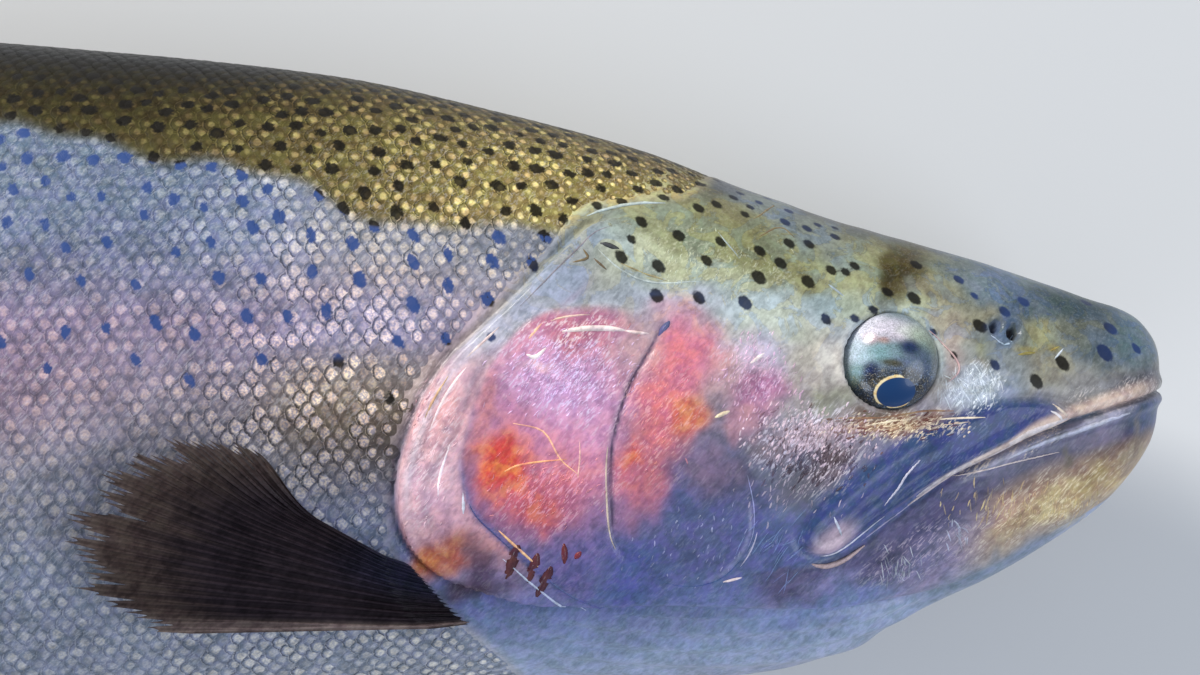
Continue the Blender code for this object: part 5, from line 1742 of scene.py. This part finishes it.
# Washes of the eyeball, as those of the head.
EYE_WASHES = (
    (83, 12, 4, 7, 10, (0.56, 0.64, 0.74), 0.9), (79, 14.5, 5, 3.2, -35, (0.78, 0.79, 0.9), 0.95),
    (74, 14.2, 5, 2.6, 0, (0.72, 0.67, 0.78), 0.9), (69.5, 13.2, 3.4, 2.4, 0, (0.61, 0.63, 0.6), 0.9),
    (66.5, 12.5, 3, 2.6, 40, (0.38, 0.45, 0.35), 0.9), (63.8, 9, 2.4, 4.2, 10, (0.27, 0.33, 0.24), 0.9),
    (66, 9, 2.2, 2.6, 0, (0.2, 0.28, 0.24), 0.7), (78.6, 11.8, 1.9, 1.5, 0, (0.64, 0.33, 0.37), 0.7),
    (75.4, 11.5, 1.6, 0.9, 5, (0.43, 0.2, 0.16), 0.85), (72.5, 12, 2, 1.4, 0, (0.64, 0.56, 0.66), 0.7),
    (81.5, 8.5, 2.8, 3.8, 0, (0.6, 0.73, 0.83), 0.85), (76.5, 8.5, 3.8, 2.8, 0, (0.23, 0.4, 0.43), 0.9),
    (72.8, 9.2, 2.2, 2.4, 0, (0.2, 0.31, 0.34), 0.85), (79.5, 7.5, 2, 1.6, 0, (0.5, 0.68, 0.76), 0.6),
    (81.6, 3.8, 2.2, 2.6, 0, (0.29, 0.47, 0.5), 0.9), (82, 1.6, 2, 1.6, 0, (0.27, 0.37, 0.32), 0.85),
    (81, -0.6, 2.4, 1.4, -30, (0.09, 0.17, 0.29), 0.9), (70, 6, 4, 1.8, 8, (0.13, 0.18, 0.28), 0.85),
    (66, 6.4, 3.4, 3.4, 0, (0.08, 0.12, 0.2), 0.9), (64.4, 1, 2.4, 4, 0, (0.04, 0.075, 0.16), 0.9),
    (62.6, 4, 1.2, 4.5, 0, (0.17, 0.19, 0.2), 0.8), (78.5, 1.6, 2.4, 2.6, 0, (0.14, 0.15, 0.155), 0.85),
    (72.6, 4.2, 5, 1.6, 6, (0.12, 0.16, 0.24), 0.85), (76.8, 2.2, 2, 2.2, 40, (0.27, 0.25, 0.2), 0.7),
    (69.5, 3.6, 2.6, 1.6, -10, (0.16, 0.15, 0.14), 0.7),
    (78.4, -2, 2.8, 2.2, -30, (0.06, 0.085, 0.15), 0.9),
    (67.2, 0.4, 1.8, 3.2, 0, (0.045, 0.06, 0.11), 0.85), (72, -5.6, 7, 1.6, 0, (0.05, 0.075, 0.12), 0.85),
    (73.6, 6.2, 3.0, 0.95, 8, (0.07, 0.066, 0.036), 0.95),
    (69.3, 9.9, 2.9, 2.0, 14, (0.016, 0.036, 0.095), 1.0),
    (78.6, 4.3, 1.9, 2.4, 10, (0.02, 0.036, 0.11), 1.0),
)


def eye_paint(behind, high):
    """The ball's own colour round the pupil."""
    colour = washed(plain((0.20, 0.26, 0.30), behind.shape), EYE_WASHES, behind, high)
    slate = 1 - ease(0.75, 1.15, np.hypot((behind - 72.5) / 11.5, (high + 1.5) / 6.5))
    return colour * (0.80 - 0.58 * slate)[..., None]


def gold_width(behind, high):
    """The gold ring's width round the pupil, as an angle: broad above and behind, thin below, none ahead."""
    middle_x = EYE_CENTRE[0] - EYE_RADIUS * math.sin(GAZE_AHEAD)
    middle_y = EYE_CENTRE[1] - EYE_RADIUS * math.sin(GAZE_DOWN)
    turn = np.degrees(np.arctan2(high - middle_y, behind - middle_x))
    broad = ease(-50, -25, turn) * (1 - ease(95, 125, turn))
    thin = (1 - ease(-62, -50, turn)) * ease(-168, -130, turn)
    return 0.055 * broad + 0.036 * thin - 0.03 * (1 - np.maximum(broad, thin))


def eye_finish():
    """A fish's eye: a pupil painted deep blue as the sky's reflection in it, in a broken gold ring, on a
    speckled slate, teal and rose ball.
    """
    finish, n = new_finish("eyeball")
    angle, width, speckled = n.parts("gaze")
    where = n.object_place()
    fine = n.noise(where, 0.35, 3, 0.65)
    middle = n.noise(where, 1.3, 3, 0.6)
    tone = n.plus(n.ramp(fine, 0.3, 0.7, 0.70, 1.34), n.ramp(middle, 0.3, 0.7, -0.16, 0.16))
    ball = n.toned(n.attribute("paint"), tone, n.ramp(middle, 0.3, 0.7, 0.485, 0.515))
    speck = n.times(n.ramp(fine, 0.53, 0.64), speckled)
    tint = n.mix(n.ramp(middle, 0.4, 0.6), (0.50, 0.42, 0.26), (0.26, 0.38, 0.58))
    ball = n.mix(n.times(speck, 0.52), ball, tint)
    past = n.minus(angle, PUPIL)
    wavy = n.math("MULTIPLY_ADD", n.ramp(fine, 0.3, 0.7, -1, 1), 0.010, past)
    gold = n.mix(n.ramp(middle, 0.35, 0.6), (0.78, 0.52, 0.20), (0.90, 0.76, 0.46))
    colour = n.mix(n.ramp(n.minus(wavy, width), 0.012, -0.012), ball, gold)
    # Painted reflection: the pupil is a deep blue, the sky mirrored in it.
    colour = n.mix(n.ramp(past, 0.010, -0.010), colour, (0.008, 0.044, 0.140))
    n.surface({"Base Color": colour, "Roughness": 0.35, "Coat Weight": 0.35, "Coat Roughness": 0.10,
               "Specular IOR Level": 0.2, "Normal": n.bump(fine, 0.04 * UNIT, 0.2)})
    return finish


def eye_rays():
    """Unit directions in (behind, high, out) over the eyeball, and their angles from its pole, the gaze."""
    polar = np.linspace(0, math.pi, EYE_RINGS + 1)[1:-1, None]
    turn = np.linspace(0, 2 * math.pi, EYE_SEGMENTS, endpoint=False)[None, :]
    pole = np.array([-math.sin(GAZE_AHEAD), -math.sin(GAZE_DOWN), math.cos(GAZE_DOWN)])
    pole /= np.linalg.norm(pole)
    ahead = np.array([-1.0, 0, 0]) + pole * pole[0]
    ahead /= np.linalg.norm(ahead)
    up = np.cross(pole, ahead)
    up *= np.sign(up[1])
    ray = np.cos(polar)[..., None] * pole + (np.sin(polar) * np.cos(turn))[..., None] * ahead
    ray = ray + (np.sin(polar) * np.sin(turn))[..., None] * up
    angle = np.concatenate([(polar + 0 * turn).ravel(), [0, math.pi]])
    return np.vstack([ray.reshape(-1, 3), pole, -pole]), angle


def build_eyes():
    finish = eye_finish()
    ray, angle = eye_rays()
    # The cornea bulges a little over the pupil.
    swell = 1 + 0.030 * ridge(angle, 0.62)
    body = ray * (EYE_RADIUS * swell)[:, None] * np.array([1, 1, EYE_FLATNESS])
    centre_out = float(flank_reach(np.array(EYE_CENTRE[0]), np.array(EYE_CENTRE[1]))) - EYE_SINK
    behind, high, out = EYE_CENTRE[0] + body[:, 0], EYE_CENTRE[1] + body[:, 1], centre_out + body[:, 2]
    gaze = np.stack([angle, gold_width(behind, high), 1 - ease(3.5, 7.5, high)], -1)
    colour = eye_paint(behind, high)
    faces = closed_faces(EYE_RINGS - 1, EYE_SEGMENTS)
    for label, side in SIDES:
        level = axis_height(EYE_CENTRE[0]) + side * out
        turned = [f[:, ::side] for f in faces]
        eye = make_piece(f"eyeball_{label}", world(behind, high, level), turned, finish,
                         {"paint": colour}, {"gaze": gaze}, 0.5 + 0.45 * ray[:, :2])
        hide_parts(f"eye_{label}")


# ---------------- camera, floor and light
MID_PLANE = 47
CAMERA_HEIGHT = 500  # above the mid plane
VIEW_MIDDLE = (142.8, 12.2)
VIEW_WIDTH = 307.2  # of the mid plane
FLOOR_HALF = 2.5  # in metres, as the lights' places and sizes are
LIT_PLACE = Vector((0.29, -0.02, 0.05))


def place_camera():
    data = bpy.data.cameras.new("camera")
    data.sensor_width = 36
    data.lens = data.sensor_width * CAMERA_HEIGHT / VIEW_WIDTH
    data.clip_start = 0.01
    camera = add_object("camera", data)
    camera.location = world(*VIEW_MIDDLE, MID_PLANE + CAMERA_HEIGHT)
    bpy.context.scene.camera = camera


def place_light(name, at, size, power, colour):
    data = bpy.data.lights.new(name, "AREA")
    data.shape = "DISK"
    data.size = size
    data.energy = power
    data.color = colour
    lamp = add_object(name, data)
    lamp.location = at
    lamp.rotation_euler = (LIT_PLACE - lamp.location).to_track_quat("-Z", "Y").to_euler()


def build_floor():
    corners = [(x * FLOOR_HALF, y * FLOOR_HALF, 0) for x, y in ((-1, -1), (1, -1), (1, 1), (-1, 1))]
    mesh = bpy.data.meshes.new("floor")
    mesh.from_pydata(corners, [], [(0, 1, 2, 3)])
    floor = add_object("floor", mesh)
    finish, n = new_finish("floor")
    n.surface({"Base Color": (0.60, 0.61, 0.62, 1), "Roughness": 0.8})
    mesh.materials.append(finish)


def light_the_room():
    place_light("key", (-0.45, 1.05, 0.80), 0.6, 25.5, (1.0, 0.97, 0.92))
    place_light("sky", (1.25, -0.35, 0.75), 0.9, 10, (0.85, 0.91, 1.0))
    place_light("rim", (-0.5, -0.95, 0.55), 0.5, 5, (0.85, 0.90, 1.0))
    room = bpy.data.worlds.new("room")
    bpy.context.scene.world = room
    room.use_nodes = True
    background = room.node_tree.nodes["Background"].inputs
    background["Color"].default_value = (0.72, 0.78, 0.88, 1)
    background["Strength"].default_value = 0.35
    bpy.context.scene.view_settings.view_transform = "Standard"


def main():
    place_camera()
    build_floor()
    light_the_room()
    build_fine_lines(build_skin())
    build_eyes()
    build_fins()
    build_coat()


main()
